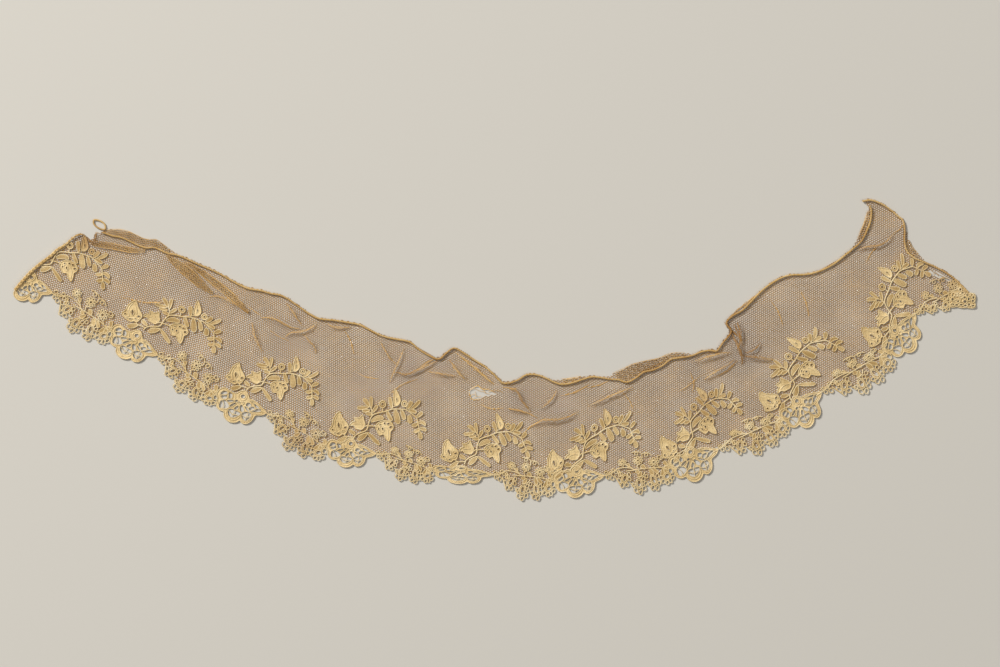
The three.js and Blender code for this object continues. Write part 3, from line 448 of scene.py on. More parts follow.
HEM_INSET = 1.1
HEM_STITCH = 1.5  # how far apart the whipping stitches are
BRAID_PITCH = 7.5
LEAST_FLAP = 2
LOOP = [
    (105, 229.6), (100.6, 229), (96.4, 226.6), (93.8, 223.2), (94.2, 220), (98, 220.2),
    (102.6, 222.2), (105.4, 225.6),
]
SNAP = 0.001  # corners of a plate nearer than this are one
HOLE_EDGE = 0.65  # how much of a hole, in pixels, the cord round it takes
MOSTLY_PAST = 0.6  # share of a strand past an end hem at which it is left out
GATHER_STEP = 0.7
LEAF_INSET = 0.18  # how far inside its drawn edge, in pixels, a leaf's outline runs
# A leaf's half width at each share of its length
LEAF_SHAPE = [
    (0, 0.2), (0.12, 0.58), (0.35, 0.9), (0.62, 1), (0.84, 0.92), (0.96, 0.62), (1, 0.24),
]
LEFT_GRAIN = math.radians(-13)  # how far the net's grain is turned in the left third
GRAIN_PIVOT = (240, 330)
GRAIN_COLUMNS = [(330, 0), (150, 0)]  # where the turn starts and where it is full
NET_SPLITS = (335, 660)  # columns where the net is divided to keep each mesh small
NET_MIDDLE = 0.28  # height of the middle of the net above the table
NET_WAVE = 0.04
NET_MARGIN = 45  # how far the grid reaches past the net before it is cut
CREASE_HEIGHT, CREASE_SLOPE, CREASE_STAIN = 0.8, 1.6, 0.03
SMOOTHNESS = 3
TABLE_REACH, TABLE_DROP = 3, 0.00002  # half the table's side, and the gap under the lace, in metres
# Lamps: name, place and size in metres, and power in watts
LIGHTS = (("key", (-2.6, 2.4, 2.5), 0.9, 240), ("fill", (2.4, -1.4, 3.5), 2.5, 44))
SKY = 0.28

# How much a thread's colour deepens from patch to patch and from thread to thread, and how much
# painted shade deepens it down its sides and in its grooves
PATCH_DEPTH, THREAD_DEPTH, PAINTED_SIDE_SHADE, PAINTED_GROOVE_SHADE = 1.7, 0.35, 0.3, 0.55
# How much painted shade browns it down its sides, how much it browns in scattered stains, and at most
PAINTED_SHADE_BROWN_SIDES, SPOT_BROWN, MOST_BROWN = 0.13, 0.45, 0.85
# Size of the fuzz on it, and how high it stands against the plies or stitches
FUZZ_MM, FUZZ_HEIGHT = 0.25, 0.35
# How far rows of stitches wander, as an angle of their wave, and over what length
WANDER, WANDER_MM = 2.6, 2.5


# Paths


def on_table(points):
    """Pixels of the photograph as millimetres on the table."""
    return (np.asarray(points, float)[:, :2] - MIDDLE) * (MM_PER_PX, -MM_PER_PX)


def unit(vectors):
    return vectors / np.maximum(np.linalg.norm(vectors, axis=-1, keepdims=True), 1e-9)


def shifted(path, distance, closed=False):
    """The path moved sideways, to the left of its travel."""
    path = np.asarray(path, float)
    if closed:
        into, out = unit(path - np.roll(path, 1, 0)), unit(np.roll(path, -1, 0) - path)
    else:
        steps = unit(np.diff(path, axis=0))
        into, out = np.vstack([steps[:1], steps]), np.vstack([steps, steps[-1:]])
    along = unit(into + out)
    reach = np.maximum(0.6, (along * out).sum(1))
    side = np.c_[-along[:, 1], along[:, 0]] / reach[:, None]
    return path + side * np.broadcast_to(distance, len(path))[:, None]


def smooth(points, closed=False, steps=SMOOTHNESS):
    """Points on the smooth curve through the given ones."""
    p = np.asarray(points, float)
    if closed:
        before, after, last = np.roll(p, 1, 0), np.roll(p, -1, 0), np.roll(p, -2, 0)
    else:
        before = np.vstack([2 * p[:1] - p[1:2], p[:-2]]) if len(p) > 2 else 2 * p[:1] - p[1:2]
        last = np.vstack([p[2:], 2 * p[-1:] - p[-2:-1]]) if len(p) > 2 else 2 * p[-1:] - p[-2:-1]
        p, after = p[:-1], p[1:]
    t = (np.arange(steps) / steps)[None, :, None]
    a, b, c, d = (q[:, None, :] for q in (before, p, after, last))
    square, cube = (2 * a - 5 * b + 4 * c - d) * t**2, (3 * b - a - 3 * c + d) * t**3
    curve = (0.5 * (2 * b + (c - a) * t + square + cube)).reshape(-1, p.shape[1])
    return curve if closed else np.vstack([curve, after[-1:]])


def oval(middle, long, wide, degrees=0, corners=12):
    angle = np.linspace(0, 2 * math.pi, corners, endpoint=False)
    x, y = long * np.cos(angle), wide * np.sin(angle)
    turn = math.radians(degrees)
    return np.c_[
        middle[0] + x * math.cos(turn) - y * math.sin(turn),
        middle[1] + x * math.sin(turn) + y * math.cos(turn),
    ]


def inside(points, outline):
    """Which points lie inside a closed outline."""
    x, y = np.asarray(points).T
    hit = np.zeros(len(x), bool)
    for (ax, ay), (bx, by) in zip(outline, np.roll(outline, -1, axis=0)):
        if ay != by:
            hit ^= ((ay > y) != (by > y)) & (x < (bx - ax) * (y - ay) / (by - ay) + ax)
    return hit


def distance_to(points, path):
    """The distance of each point from a path, and how far along the path it is, from 0 to 1."""
    lengths = np.r_[0, np.cumsum(np.linalg.norm(np.diff(path, axis=0), axis=1))]
    nearest, share = np.full(len(points), np.inf), np.zeros(len(points))
    for i, (a, b) in enumerate(zip(path[:-1], path[1:])):
        t = np.clip(((points - a) @ (b - a)) / ((b - a) @ (b - a)), 0, 1)
        away = np.linalg.norm(points - a - t[:, None] * (b - a), axis=1)
        closer = away < nearest
        nearest = np.where(closer, away, nearest)
        run = lengths[i] + t * (lengths[i + 1] - lengths[i])
        share = np.where(closer, run / lengths[-1], share)
    return nearest, share


def evenly(path, step):
    """Points at even steps along a path, and how far along it each lies."""
    lengths = np.r_[0, np.cumsum(np.linalg.norm(np.diff(path, axis=0), axis=1))]
    at = np.linspace(0, lengths[-1], max(3, int(lengths[-1] / step) + 1))
    return np.c_[np.interp(at, lengths, path[:, 0]), np.interp(at, lengths, path[:, 1])], at


def held_back(points, area, line):
    """Brings what lies past an end hem back onto it, and says which points lay past it."""
    past = inside(points, area)
    fine = evenly(line, 0.5)[0]
    nearest = fine[np.linalg.norm(points[:, None] - fine[None], axis=2).argmin(1)]
    return np.where(past[:, None], nearest, points), past


def motif_map(drawn, placed):
    """The affine map that brings the drawn marks nearest to their places."""
    known = [i for i, place in enumerate(placed) if place]
    marks = np.array([[*drawn[i], 1] for i in known])
    fit = np.linalg.lstsq(marks, np.array([placed[i] for i in known], float), rcond=None)[0]
    return lambda points: on_table(np.c_[np.asarray(points, float), np.ones(len(points))] @ fit)


def border_map(drawn, left, right, inward, depth):
    """Brings the drawn repeat's ends to their places and stretches what lies off their line."""
    start, span = np.array(drawn[0], float), np.subtract(*drawn[::-1]).astype(float)
    place, room = np.array(left, float), np.subtract(right, left).astype(float)

    def mapped(points):
        off = np.asarray(points, float) - start
        along = off @ span / (span @ span)
        away = (off[:, 1] * span[0] - off[:, 0] * span[1]) / (span @ span)
        away = away * np.where(away > 0, depth, inward)
        return on_table(place + along[:, None] * room + away[:, None] * np.array([-room[1], room[0]]))

    return mapped


# Where the cloth lies


def turns(rows):
    return np.array([row[2] for row in rows], float)


def hem_path(rows):
    """The line that a hem follows, just inside the edge or past the net turned over there."""
    return shifted(on_table(rows), -np.maximum(HEM_INSET, turns(rows)))


def flap_strips(rows):
    """The doubled strips between a turned-over edge and its hem."""
    edge, turn = on_table(rows), turns(rows)
    inner = shifted(edge, -np.maximum(turn, LEAST_FLAP))
    strips, start = [], None
    for i, wide in enumerate([*turn, 0]):
        if wide >= LEAST_FLAP and start is None:
            start = i
        elif wide < LEAST_FLAP and start is not None:
            strips.append(np.vstack([edge[start:i], inner[start:i][::-1]]))
            start = None
    return strips


SCALLOP_MAPS = [border_map(SCALLOP_ENDS, *row) for row in SCALLOPS]
FAN_MAPS = [border_map(FAN_ENDS, *row) for row in FANS]
OUTER_EDGE = np.vstack([
    np.vstack([FAN_MAPS[i](NET_BEHIND_FAN)[0 if i else 2:], SCALLOP_MAPS[i](NET_BEHIND_SCALLOP)])
    for i in range(len(SCALLOPS))
])
NET_OUTLINE = np.vstack([
    on_table(LEFT_END), on_table(LEFT_PUCKER), on_table(NECK), on_table(RIGHT_END), OUTER_EDGE[::-1],
])
LEFT_HEM, RIGHT_HEM = hem_path(LEFT_END), hem_path(RIGHT_END)[-4:]
PAST_ENDS = {
    0: (np.vstack([LEFT_HEM, on_table(PAST_LEFT)]), LEFT_HEM),
    8: (np.vstack([RIGHT_HEM, on_table(PAST_RIGHT)]), RIGHT_HEM),
}
CREASE_LINES = [(wide, high, on_table(path)) for wide, high, path in CREASES]
STAIN_SPOTS = [(on_table([(x, y)])[0], reach * MM_PER_PX, much) for x, y, reach, much in STAINS]


def relief(points):
    """The height of the middle of the net above the table."""
    x, y = np.asarray(points).T
    height = NET_MIDDLE + NET_WAVE * (np.sin(x / 5.3 + y / 9.7) + np.sin(x / 11.3 - y / 6.1 + 1.3))
    for wide, high, path in CREASE_LINES:
        away, share = distance_to(points, path)
        ridge = CREASE_HEIGHT * high * np.sin(math.pi * share)
        height = height + ridge * np.exp(-((CREASE_SLOPE * away / wide) ** 2))
    return height


def staining(points):
    """How browned the cloth is, from 0 to 1."""
    much = np.zeros(len(points))
    for middle, reach, strength in STAIN_SPOTS:
        away = np.linalg.norm(points - middle, axis=1)
        much = np.maximum(much, strength * np.exp(-((away / reach) ** 2)))
    for wide, high, path in CREASE_LINES:
        away, share = distance_to(points, path)
        strength = (CREASE_STAIN + CREASE_STAIN * high) * np.sin(math.pi * share)
        much = np.maximum(much, strength * np.exp(-((away / wide) ** 2)))
    return much


# Threads and clothwork, gathered before they are given thickness


class Strands:
    """Paths in millimetres, each with half its thickness, a tone and how browned it is."""

    def __init__(self, seed=1, past_end=None):
        self.points, self.thick, self.tone, self.edges = [], [], [], []
        self.count = 0
        self.past_end = past_end
        self.chance = np.random.default_rng(seed)

    def add(self, flat_path, thick, lift=0.0, closed=False, height=None):
        """Adds one path that follows the net, unless its height above the table is given."""
        n = len(flat_path)
        thick = np.broadcast_to(thick, n)
        if self.past_end:
            flat_path, past = held_back(flat_path, *self.past_end)
            if past.mean() > MOSTLY_PAST:
                return
            thick = np.where(past, PINCHED, 1) * thick
        z = relief(flat_path) if height is None else np.broadcast_to(height, n)
        self.points.append(np.c_[flat_path, z + lift])
        self.thick.append(thick)
        self.tone.append(np.full(n, self.chance.random()))
        here = self.count + np.arange(n)
        pairs = np.c_[here, np.roll(here, -1)]
        self.edges.append(pairs if closed else pairs[:-1])
        self.count += n

    def held(self, flat_path):
        """The path as an end hem leaves it, or nothing where most of it lies past the hem."""
        if not self.past_end:
            return flat_path
        flat_path, past = held_back(flat_path, *self.past_end)
        return None if past.mean() > MOSTLY_PAST else flat_path

    def clear(self, flat_path):
        """Whether no point of the path lies past an end hem."""
        return not (self.past_end and inside(flat_path, self.past_end[0]).any())

    def net(self, flat_points, edges, thick, lift):
        """Adds a whole net, with a tone of its own at each crossing."""
        self.points.append(np.c_[flat_points, relief(flat_points) + lift])
        self.thick.append(np.full(len(flat_points), thick))
        self.tone.append(self.chance.random(len(flat_points)))
        self.edges.append(edges + self.count)
        self.count += len(flat_points)

    def mesh(self, name):
        points = np.vstack(self.points)
        edges = np.vstack(self.edges)
        mesh = bpy.data.meshes.new(name)
        mesh.vertices.add(len(points))
        mesh.vertices.foreach_set("co", (points * MM).ravel())
        mesh.edges.add(len(edges))
        mesh.edges.foreach_set("vertices", edges.astype(np.int32).ravel())
        give_values(mesh, {
            "thick": np.concatenate(self.thick) * MM,
            "tone": np.concatenate(self.tone),
            "brown": staining(points[:, :2]),
        })
        return mesh


class Plates:
    """Flat pieces of clothwork with holes, a little thick."""

    def __init__(self):
        self.verts, self.faces = [], []

    def add(self, outline, holes, low, high):
        """Adds one plate between two heights above the middle of the net."""
        loops = [outline, *holes]
        corners = np.vstack(loops)
        rims, first = [], 0
        for loop in loops:
            here = first + np.arange(len(loop))
            rims += zip(here.tolist(), np.roll(here, -1).tolist())
            first += len(loop)
        flat, _, triangles, *_ = delaunay_2d_cdt([Vector(c) for c in corners], rims, [], 0, SNAP)
        flat, triangles = np.array(flat), np.array(triangles)
        middles = flat[triangles].mean(1)
        kept = inside(middles, outline)
        for hole in holes:
            kept &= ~inside(middles, hole)
        triangles = triangles[kept]
        n, start, z = len(flat), len(self.verts), relief(flat)
        self.verts += [*np.c_[flat, z + high].tolist(), *np.c_[flat, z + low].tolist()]
        sides = {(a, b) for t in triangles.tolist() for a, b in zip(t, t[1:] + t[:1])}
        under = start + n
        for a, b, c in triangles.tolist():
            self.faces.append((start + a, start + b, start + c))
            self.faces.append((under + a, under + c, under + b))
        for a, b in sorted(sides):
            if (b, a) not in sides:
                self.faces.append((start + a, under + a, under + b, start + b))

    def object(self, name, material):
        mesh = bpy.data.meshes.new(name)
        every_corner = np.concatenate([np.array(face) for face in self.faces])
        used, packed = np.unique(every_corner, return_inverse=True)
        points = np.array(self.verts)[used]
        corners = iter(packed.tolist())
        mesh.from_pydata(points * MM, [], [[next(corners) for _ in face] for face in self.faces])
        mesh.materials.append(material)
        n = len(points)
        # The stitches run along X and are counted across from Y = 0
        # Its second value sets how much painted side shade the flat plate gets
        section = np.c_[points[:, 1], np.full(n, PLATE_FACING_FOR_PAINTED_SHADE), np.zeros(n)]
        give_values(mesh, {
            "tone": np.full(n, PLATE_TONE), "brown": staining(points[:, :2]),
            "thick": np.full(n, MM), "along": points[:, 0], "section": section,
        })
        obj = bpy.data.objects.new(name, mesh)
        bpy.context.scene.collection.objects.link(obj)
        return obj


def give_values(mesh, values):
    for key, value in values.items():
        kind, field = ("FLOAT_VECTOR", "vector") if value.ndim > 1 else ("FLOAT", "value")
        layer = mesh.attributes.new(key, kind, "POINT")
        layer.data.foreach_set(field, value.astype(np.float32).ravel())
    mesh.update()


def put(tree, kind, settings=None, **links):
    """Adds a node with its settings, and gives its inputs values or links."""
    node = tree.nodes.new(kind)
    for key, value in (settings or {}).items():
        setattr(node, key, value)
    for key, value in links.items():
        socket = node.inputs[int(key[1:]) if key[0] == "_" else key.replace("_", " ")]
        if isinstance(value, bpy.types.NodeSocket):
            tree.links.new(value, socket)
        else:
            socket.default_value = value
    return node


def strand_tree():
    """Gives each path its thickness: a round or flattened section, closed at its ends."""
    tree = bpy.data.node_groups.get("worked_threads")
    if tree:
        return tree
    tree = bpy.data.node_groups.new("worked_threads", "GeometryNodeTree")
    face = tree.interface
    face.new_socket("Geometry", in_out="INPUT", socket_type="NodeSocketGeometry")
    face.new_socket("Sides", in_out="INPUT", socket_type="NodeSocketInt")
    face.new_socket("Flatness", in_out="INPUT", socket_type="NodeSocketFloat")
    face.new_socket("Closed Ends", in_out="INPUT", socket_type="NodeSocketBool")
    face.new_socket("Material", in_out="INPUT", socket_type="NodeSocketMaterial")
    face.new_socket("Geometry", in_out="OUTPUT", socket_type="NodeSocketGeometry")
    given = put(tree, "NodeGroupInput").outputs
    curve = put(tree, "GeometryNodeMeshToCurve", Mesh=given["Geometry"])
    upright = put(tree, "GeometryNodeSetCurveNormal", {"mode": "Z_UP"}, Curve=curve.outputs[0])
    run = put(tree, "GeometryNodeSplineParameter").outputs["Length"]
    run_mm = put(tree, "ShaderNodeMath", {"operation": "DIVIDE"}, _0=run, _1=MM)
    marked = put(
        tree, "GeometryNodeStoreNamedAttribute", {"data_type": "FLOAT", "domain": "POINT"},
        Geometry=upright.outputs[0], Name="along", Value=run_mm.outputs[0],
    )
    circle = put(tree, "GeometryNodeCurvePrimitiveCircle", Resolution=given["Sides"], Radius=1.0)
    corner = put(tree, "GeometryNodeInputPosition")
    rim = put(
        tree, "GeometryNodeStoreNamedAttribute", {"data_type": "FLOAT_VECTOR", "domain": "POINT"},
        Geometry=circle.outputs[0], Name="section", Value=corner.outputs[0],
    )
    shape = put(tree, "ShaderNodeCombineXYZ", X=1.0, Y=given["Flatness"], Z=1.0)
    section = put(tree, "GeometryNodeTransform", Geometry=rim.outputs[0], Scale=shape.outputs[0])
    thick = put(tree, "GeometryNodeInputNamedAttribute", {"data_type": "FLOAT"}, Name="thick")
    tube = put(
        tree, "GeometryNodeCurveToMesh", Curve=marked.outputs[0], Profile_Curve=section.outputs[0],
        Scale=thick.outputs[0], Fill_Caps=given["Closed Ends"],
    )
    soft = put(tree, "GeometryNodeSetShadeSmooth", Geometry=tube.outputs[0])
    real = put(tree, "GeometryNodeRealizeInstances", Geometry=soft.outputs[0])
    dressed = put(tree, "GeometryNodeSetMaterial", Geometry=real.outputs[0], Material=given["Material"])
    put(tree, "NodeGroupOutput", Geometry=dressed.outputs[0])
    return tree


def worked(strands, name, material, sides=6, flatness=1.0, closed_ends=True):
    """A plain mesh of the gathered strands."""
    source = bpy.data.objects.new(name, strands.mesh(name + "_paths"))
    bpy.context.scene.collection.objects.link(source)
    tree = strand_tree()
    modifier = source.modifiers.new("threads", "NODES")
    modifier.node_group = tree
    given = {
        "Sides": sides, "Flatness": flatness, "Closed Ends": closed_ends, "Material": material,
    }
    for item in tree.interface.items_tree:
        if item.item_type == "SOCKET" and item.name in given:
            modifier[item.identifier] = given[item.name]
    layers = bpy.context.evaluated_depsgraph_get()
    mesh = bpy.data.meshes.new_from_object(
        source.evaluated_get(layers), preserve_all_data_layers=True, depsgraph=layers,
    )
    mesh.name = name
    source.modifiers.remove(modifier)
    bpy.data.objects.remove(source)
    obj = bpy.data.objects.new(name, mesh)
    bpy.context.scene.collection.objects.link(obj)
    return obj


def joined(name, objects):
    """Several meshes as one piece."""
    bpy.ops.object.select_all(action="DESELECT")
    for obj in objects:
        obj.select_set(True)
    bpy.context.view_layer.objects.active = objects[0]
    bpy.ops.object.join()
    objects[0].name = name
    return objects[0]


def seated(piece, slot, *nodes):
    """Hangs a piece on the root and hides the nodes that it stands for; its slot is not used."""
    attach(piece, "root")
    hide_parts(*nodes)
    return piece


# Materials


def linear(colour):
    """A hex or 0 to 1 sRGB colour as linear RGBA."""
    if isinstance(colour, str):
        colour = [int(colour[i:i + 2], 16) / 255 for i in (1, 3, 5)]
    return [*(c / 12.92 if c <= 0.04045 else ((c + 0.055) / 1.055) ** 2.4 for c in colour[:3]), 1.0]


def attribute(tree, name, output="Fac"):
    return put(tree, "ShaderNodeAttribute", {"attribute_name": name}).outputs[output]


def maths(tree, operation, *values, clamp=False):
    settings = {"operation": operation, "use_clamp": clamp}
    return put(tree, "ShaderNodeMath", settings, **{f"_{i}": v for i, v in enumerate(values)}).outputs[0]


def noise(tree, size_mm, detail=2.0):
    place = put(tree, "ShaderNodeTexCoord").outputs["Object"]
    return put(
        tree, "ShaderNodeTexNoise", Vector=place, Scale=1 / (size_mm * MM), Detail=detail,
    ).outputs["Fac"]


def twisted_plies(tree, twist_mm):
    """Grooves that wind round a cord: height from 0 to 1."""
    section = put(tree, "ShaderNodeSeparateXYZ", Vector=attribute(tree, "section", "Vector")).outputs
    turn = maths(tree, "MULTIPLY", attribute(tree, "along"), 2 * math.pi / twist_mm)
    side = maths(tree, "MULTIPLY", maths(tree, "SINE", turn), section["X"])
    top = maths(tree, "MULTIPLY_ADD", maths(tree, "COSINE", turn), section["Y"], side)
    return maths(tree, "MULTIPLY_ADD", top, 0.5, 0.5)


def stitch_rows(tree, stitch_mm):
    """Rows of stitches with a small pit between each four: height from 0 to 1."""
    section = put(tree, "ShaderNodeSeparateXYZ", Vector=attribute(tree, "section", "Vector")).outputs
    across = maths(tree, "MULTIPLY", section["X"], maths(tree, "DIVIDE", attribute(tree, "thick"), MM))
    wander = maths(tree, "MULTIPLY_ADD", noise(tree, WANDER_MM), WANDER, -WANDER / 2)
    waves = [
        maths(tree, "COSINE", maths(tree, "MULTIPLY_ADD", length, 2 * math.pi / stitch_mm, wander))
        for length in (attribute(tree, "along"), across)
    ]
    both = maths(tree, "MULTIPLY", *(maths(tree, "MULTIPLY_ADD", wave, 0.5, 0.5) for wave in waves))
    return maths(tree, "SUBTRACT", 1.0, both)


def loose_fibres(tree, fibre_mm):
    """Fibres that stand off soft thread: height from 0 to 1."""
    return noise(tree, fibre_mm)


def aged_thread(name, tones, patch_mm, roughness, surface, detail_mm, depth_mm):
    """Aged thread: light and deep tones in patches, painted shade in its grooves and down its sides,
    browned in places.
    """
    material = bpy.data.materials.get(name)
    if material:
        return material
    material = bpy.data.materials.new(name)
    material.use_nodes = True
    tree = material.node_tree
    tree.nodes.clear()
    light, deep, brown = (linear(tone) for tone in tones)
    height = surface(tree, detail_mm)
    # Painted shade: the sides of a cord, away from its top, are coloured deeper and browner
    upward = put(tree, "ShaderNodeSeparateXYZ", Vector=attribute(tree, "section", "Vector")).outputs["Y"]
    edge = maths(tree, "SUBTRACT", 1.0, upward)
    uneven = maths(tree, "MULTIPLY_ADD", noise(tree, patch_mm, 3.0), PATCH_DEPTH, -0.6)
    varied = maths(tree, "MULTIPLY_ADD", attribute(tree, "tone"), THREAD_DEPTH, uneven)
    varied_and_side_shaded = maths(tree, "ADD", maths(tree, "MULTIPLY_ADD", edge, PAINTED_SIDE_SHADE, varied), 0.2)
    # Painted shade: the colour deepens in the grooves between plies, the pits between stitches and the
    # low places of the fuzz
    share = maths(tree, "MULTIPLY_ADD", height, -PAINTED_GROOVE_SHADE, varied_and_side_shaded, clamp=True)
    body = put(tree, "ShaderNodeMix", {"data_type": "RGBA"}, _0=share, _6=light, _7=deep).outputs[2]
    spots = maths(tree, "MULTIPLY_ADD", noise(tree, 5.0, 3.0), 4.0, -2.35, clamp=True)
    # Real browning and stains, with painted shade browning the sides as well
    stains_and_side_shade = maths(tree, "MULTIPLY_ADD", edge, PAINTED_SHADE_BROWN_SIDES, attribute(tree, "brown"))
    soak = maths(tree, "MULTIPLY_ADD", spots, SPOT_BROWN, stains_and_side_shade, clamp=True)
    soaked = maths(tree, "MULTIPLY", soak, MOST_BROWN)
    aged = put(tree, "ShaderNodeMix", {"data_type": "RGBA"}, _0=soaked, _6=body, _7=brown).outputs[2]
    fuzz = maths(tree, "MULTIPLY_ADD", noise(tree, FUZZ_MM), FUZZ_HEIGHT, height)
    bump = put(tree, "ShaderNodeBump", Strength=0.8, Distance=depth_mm * MM, Height=fuzz)
    shader = put(
        tree, "ShaderNodeBsdfPrincipled", Base_Color=aged, Roughness=roughness,
        Normal=bump.outputs[0], Specular_IOR_Level=0.3,
    )
    put(tree, "ShaderNodeOutputMaterial", Surface=shader.outputs[0])
    return material


def net_cotton():
    # Fine cotton thread, machine twisted into net: matt, tan with age, browned in the creases
    c = bpy.context.scene.lace_collar
    tones = (c.net_colour, "#b98a3c", c.stain_colour)
    return aged_thread("cotton_net_machine_twisted", tones, 14, 0.9, loose_fibres, 0.5, 0.08)


def net_painted_lighter_where_gathered():
    # The same net drawn together in creases, tucks and ravelled rims: painted lighter than the net to
    # offset the shade that its layers cast on each other
    c = bpy.context.scene.lace_collar
    tones = (c.gathered_colour_painted_lighter, "#d9b273", c.stain_colour)
    return aged_thread("painted_lighter_gathered_net", tones, 14, 0.9, loose_fibres, 0.5, 0.08)


def lace_cord():
    # Soft linen thread twisted into cord: cream, with grooves between its plies painted deeper as shade.
    # The real twist is about 0.5 mm, drawn a little longer so that it shows.
    c = bpy.context.scene.lace_collar
    tones = (c.lace_colour, "#dcc38d", c.stain_colour)
    return aged_thread("linen_cord_twisted", tones, 9, 0.7, twisted_plies, 0.8, 0.1)


def clothwork_with_painted_shade():
    # Linen clothwork in close rows of stitches: duller and greyer than the cords, and pitted; its deeper
    # colour is partly its own and partly painted shade where it lies below the cords.
    # The real rows are about 0.5 mm apart, drawn at 0.9 mm so that they show.
    c = bpy.context.scene.lace_collar
    tones = (c.clothwork_colour_with_painted_shade, "#a48855", c.stain_colour)
    return aged_thread("linen_clothwork_with_painted_shade", tones, 9, 0.85, stitch_rows, 0.9, 0.16)


def hem_cotton():
    # Rolled net whipped over with thread: yellower than the lace, and browned by handling
    c = bpy.context.scene.lace_collar
    tones = (c.hem_colour, "#c09f64", c.stain_colour)
    return aged_thread("cotton_hem_rolled_and_whipped", tones, 7, 0.8, twisted_plies, 0.7, 0.08)


# Properties


def sized(name, about, millimetres, least, most):
    return bpy.props.FloatProperty(
        name=name, description=about, default=millimetres * MM, min=least * MM, max=most * MM,
        unit="LENGTH", precision=5,
    )


def coloured(name, about, shade):
    return bpy.props.FloatVectorProperty(
        name=name, description=about, subtype="COLOR_GAMMA", size=3, default=shade, min=0, max=1,
    )


class LaceCollarSettings(bpy.types.PropertyGroup):
    net_pitch: sized("Net pitch", "Distance between columns of the net", 1.2, 0.8, 3)
    net_thread: sized("Net thread", "Half the width of the net's thread", 0.165, 0.05, 0.5)
    lace_cord: sized("Lace cord", "Half the width of the cord that outlines the motifs", 0.3, 0.1, 0.8)
    hem_roll: sized("Hem", "Half the width of the rolled neck hem", 0.66, 0.3, 1.5)
    net_colour: coloured("Net", "Lightest tone of the net, sRGB", (0.93, 0.71, 0.3))
    # Painted lighter than the net, to offset the shade between its layers
    gathered_colour_painted_lighter: coloured("Crease", "Lightest tone of gathered net, sRGB", (1.0, 0.88, 0.64))
    lace_colour: coloured("Cord", "Lightest tone of the lace cord, sRGB", (1.0, 0.95, 0.81))
    # Partly the clothwork's own tone, partly painted shade where it lies below the cords
    clothwork_colour_with_painted_shade: coloured("Clothwork", "Lightest tone of the clothwork, sRGB", (0.93, 0.83, 0.62))
    hem_colour: coloured("Hem", "Lightest tone of the hems, sRGB", (0.96, 0.86, 0.65))
    stain_colour: coloured("Stain", "Colour of browned places, sRGB", (0.58, 0.4, 0.17))
    floor_colour: coloured("Table", "Colour of the plain table, sRGB", (0.75, 0.73, 0.69))


# Net


def net_grain(points):
    """Turns the net's grain in the left third of the collar."""
    pivot = on_table([GRAIN_PIVOT])[0]
    start, end = on_table(GRAIN_COLUMNS)[:, 0]
    share = np.clip((points[:, 0] - start) / (end - start), 0, 1)
    angle = LEFT_GRAIN * share**2 * (3 - 2 * share)
    off = points - pivot
    return pivot + np.c_[
        off[:, 0] * np.cos(angle) - off[:, 1] * np.sin(angle),
        off[:, 0] * np.sin(angle) + off[:, 1] * np.cos(angle),
    ]


def hexagon_net(outline, pitch, turn=None):
    """Zigzag columns and the short bars that join them, clipped to an outline."""
    side = pitch / 1.5
    step = side * math.sqrt(3) / 2
    low, high = outline.min(0), outline.max(0)
    margin = NET_MARGIN if turn is None else 0.75 * np.linalg.norm(high - low)
    middle = (low + high) / 2
    half = (high - low) / 2 + margin
    columns, rows = (np.ceil(2 * half / (pitch, step)).astype(int)) + 1
    k, j = np.meshgrid(np.arange(columns), np.arange(rows), indexing="ij")
    right = (k + j) % 2 == 0
    flat = np.c_[
        (k * pitch + np.where(right, side / 4, -side / 4) - half[0]).ravel(),
        (j * step - half[1]).ravel(),
    ] + middle
    if turn is None:
        flat = net_grain(flat)
    else:
        c, s = math.cos(turn), math.sin(turn)
        flat = middle + (flat - middle) @ np.array([[c, s], [-s, c]])
    kept = inside(flat, outline)
    for tear in TEARS:
        kept &= ~inside(flat, on_table(tear))
    index = np.arange(columns * rows).reshape(columns, rows)
    zig = np.c_[index[:, :-1].ravel(), index[:, 1:].ravel()]
    zig = zig[kept[zig].all(1)]
    bars = np.c_[index[:-1][right[:-1]], index[1:][right[:-1]]]
    bars = bars[kept[bars].all(1)]
    used, packed = np.unique(zig, return_inverse=True)
    ends = flat[bars.ravel()]
    points = np.vstack([flat[used], ends])
    edges = np.vstack([
        packed.reshape(-1, 2), (len(used) + np.arange(len(ends))).reshape(-1, 2),
    ])
    return points, edges


def tuck_sides(rows):
    """The two long edges of a tuck, which narrows to both ends."""
    even = smooth(rows)
    line = on_table(even)
    return shifted(line, even[:, 2] / 2), shifted(line, -even[:, 2] / 2)


def gathers(strands, line, wide, lift, count, thick):
    """Net threads drawn together along a crease: spread in the middle and lost at the ends."""
    line, at = evenly(smooth(line), GATHER_STEP)
    swell = np.maximum(np.sin(math.pi * at / at[-1]), 0)
    spread = wide / 2 * swell
    thick = thick * (0.45 + 0.55 * swell)
    for _ in range(count):
        lean, pace, start = strands.chance.uniform((-0.8, 0.5, 0), (0.8, 1.3, 6))
        strands.add(shifted(line, spread * (lean + 0.4 * np.sin(pace * at + start))), thick, lift)
    zigzag = np.where(np.arange(len(at)) % 2, 0.8, -0.8)
    strands.add(shifted(line, spread * zigzag), 0.8 * thick, lift - 0.1)


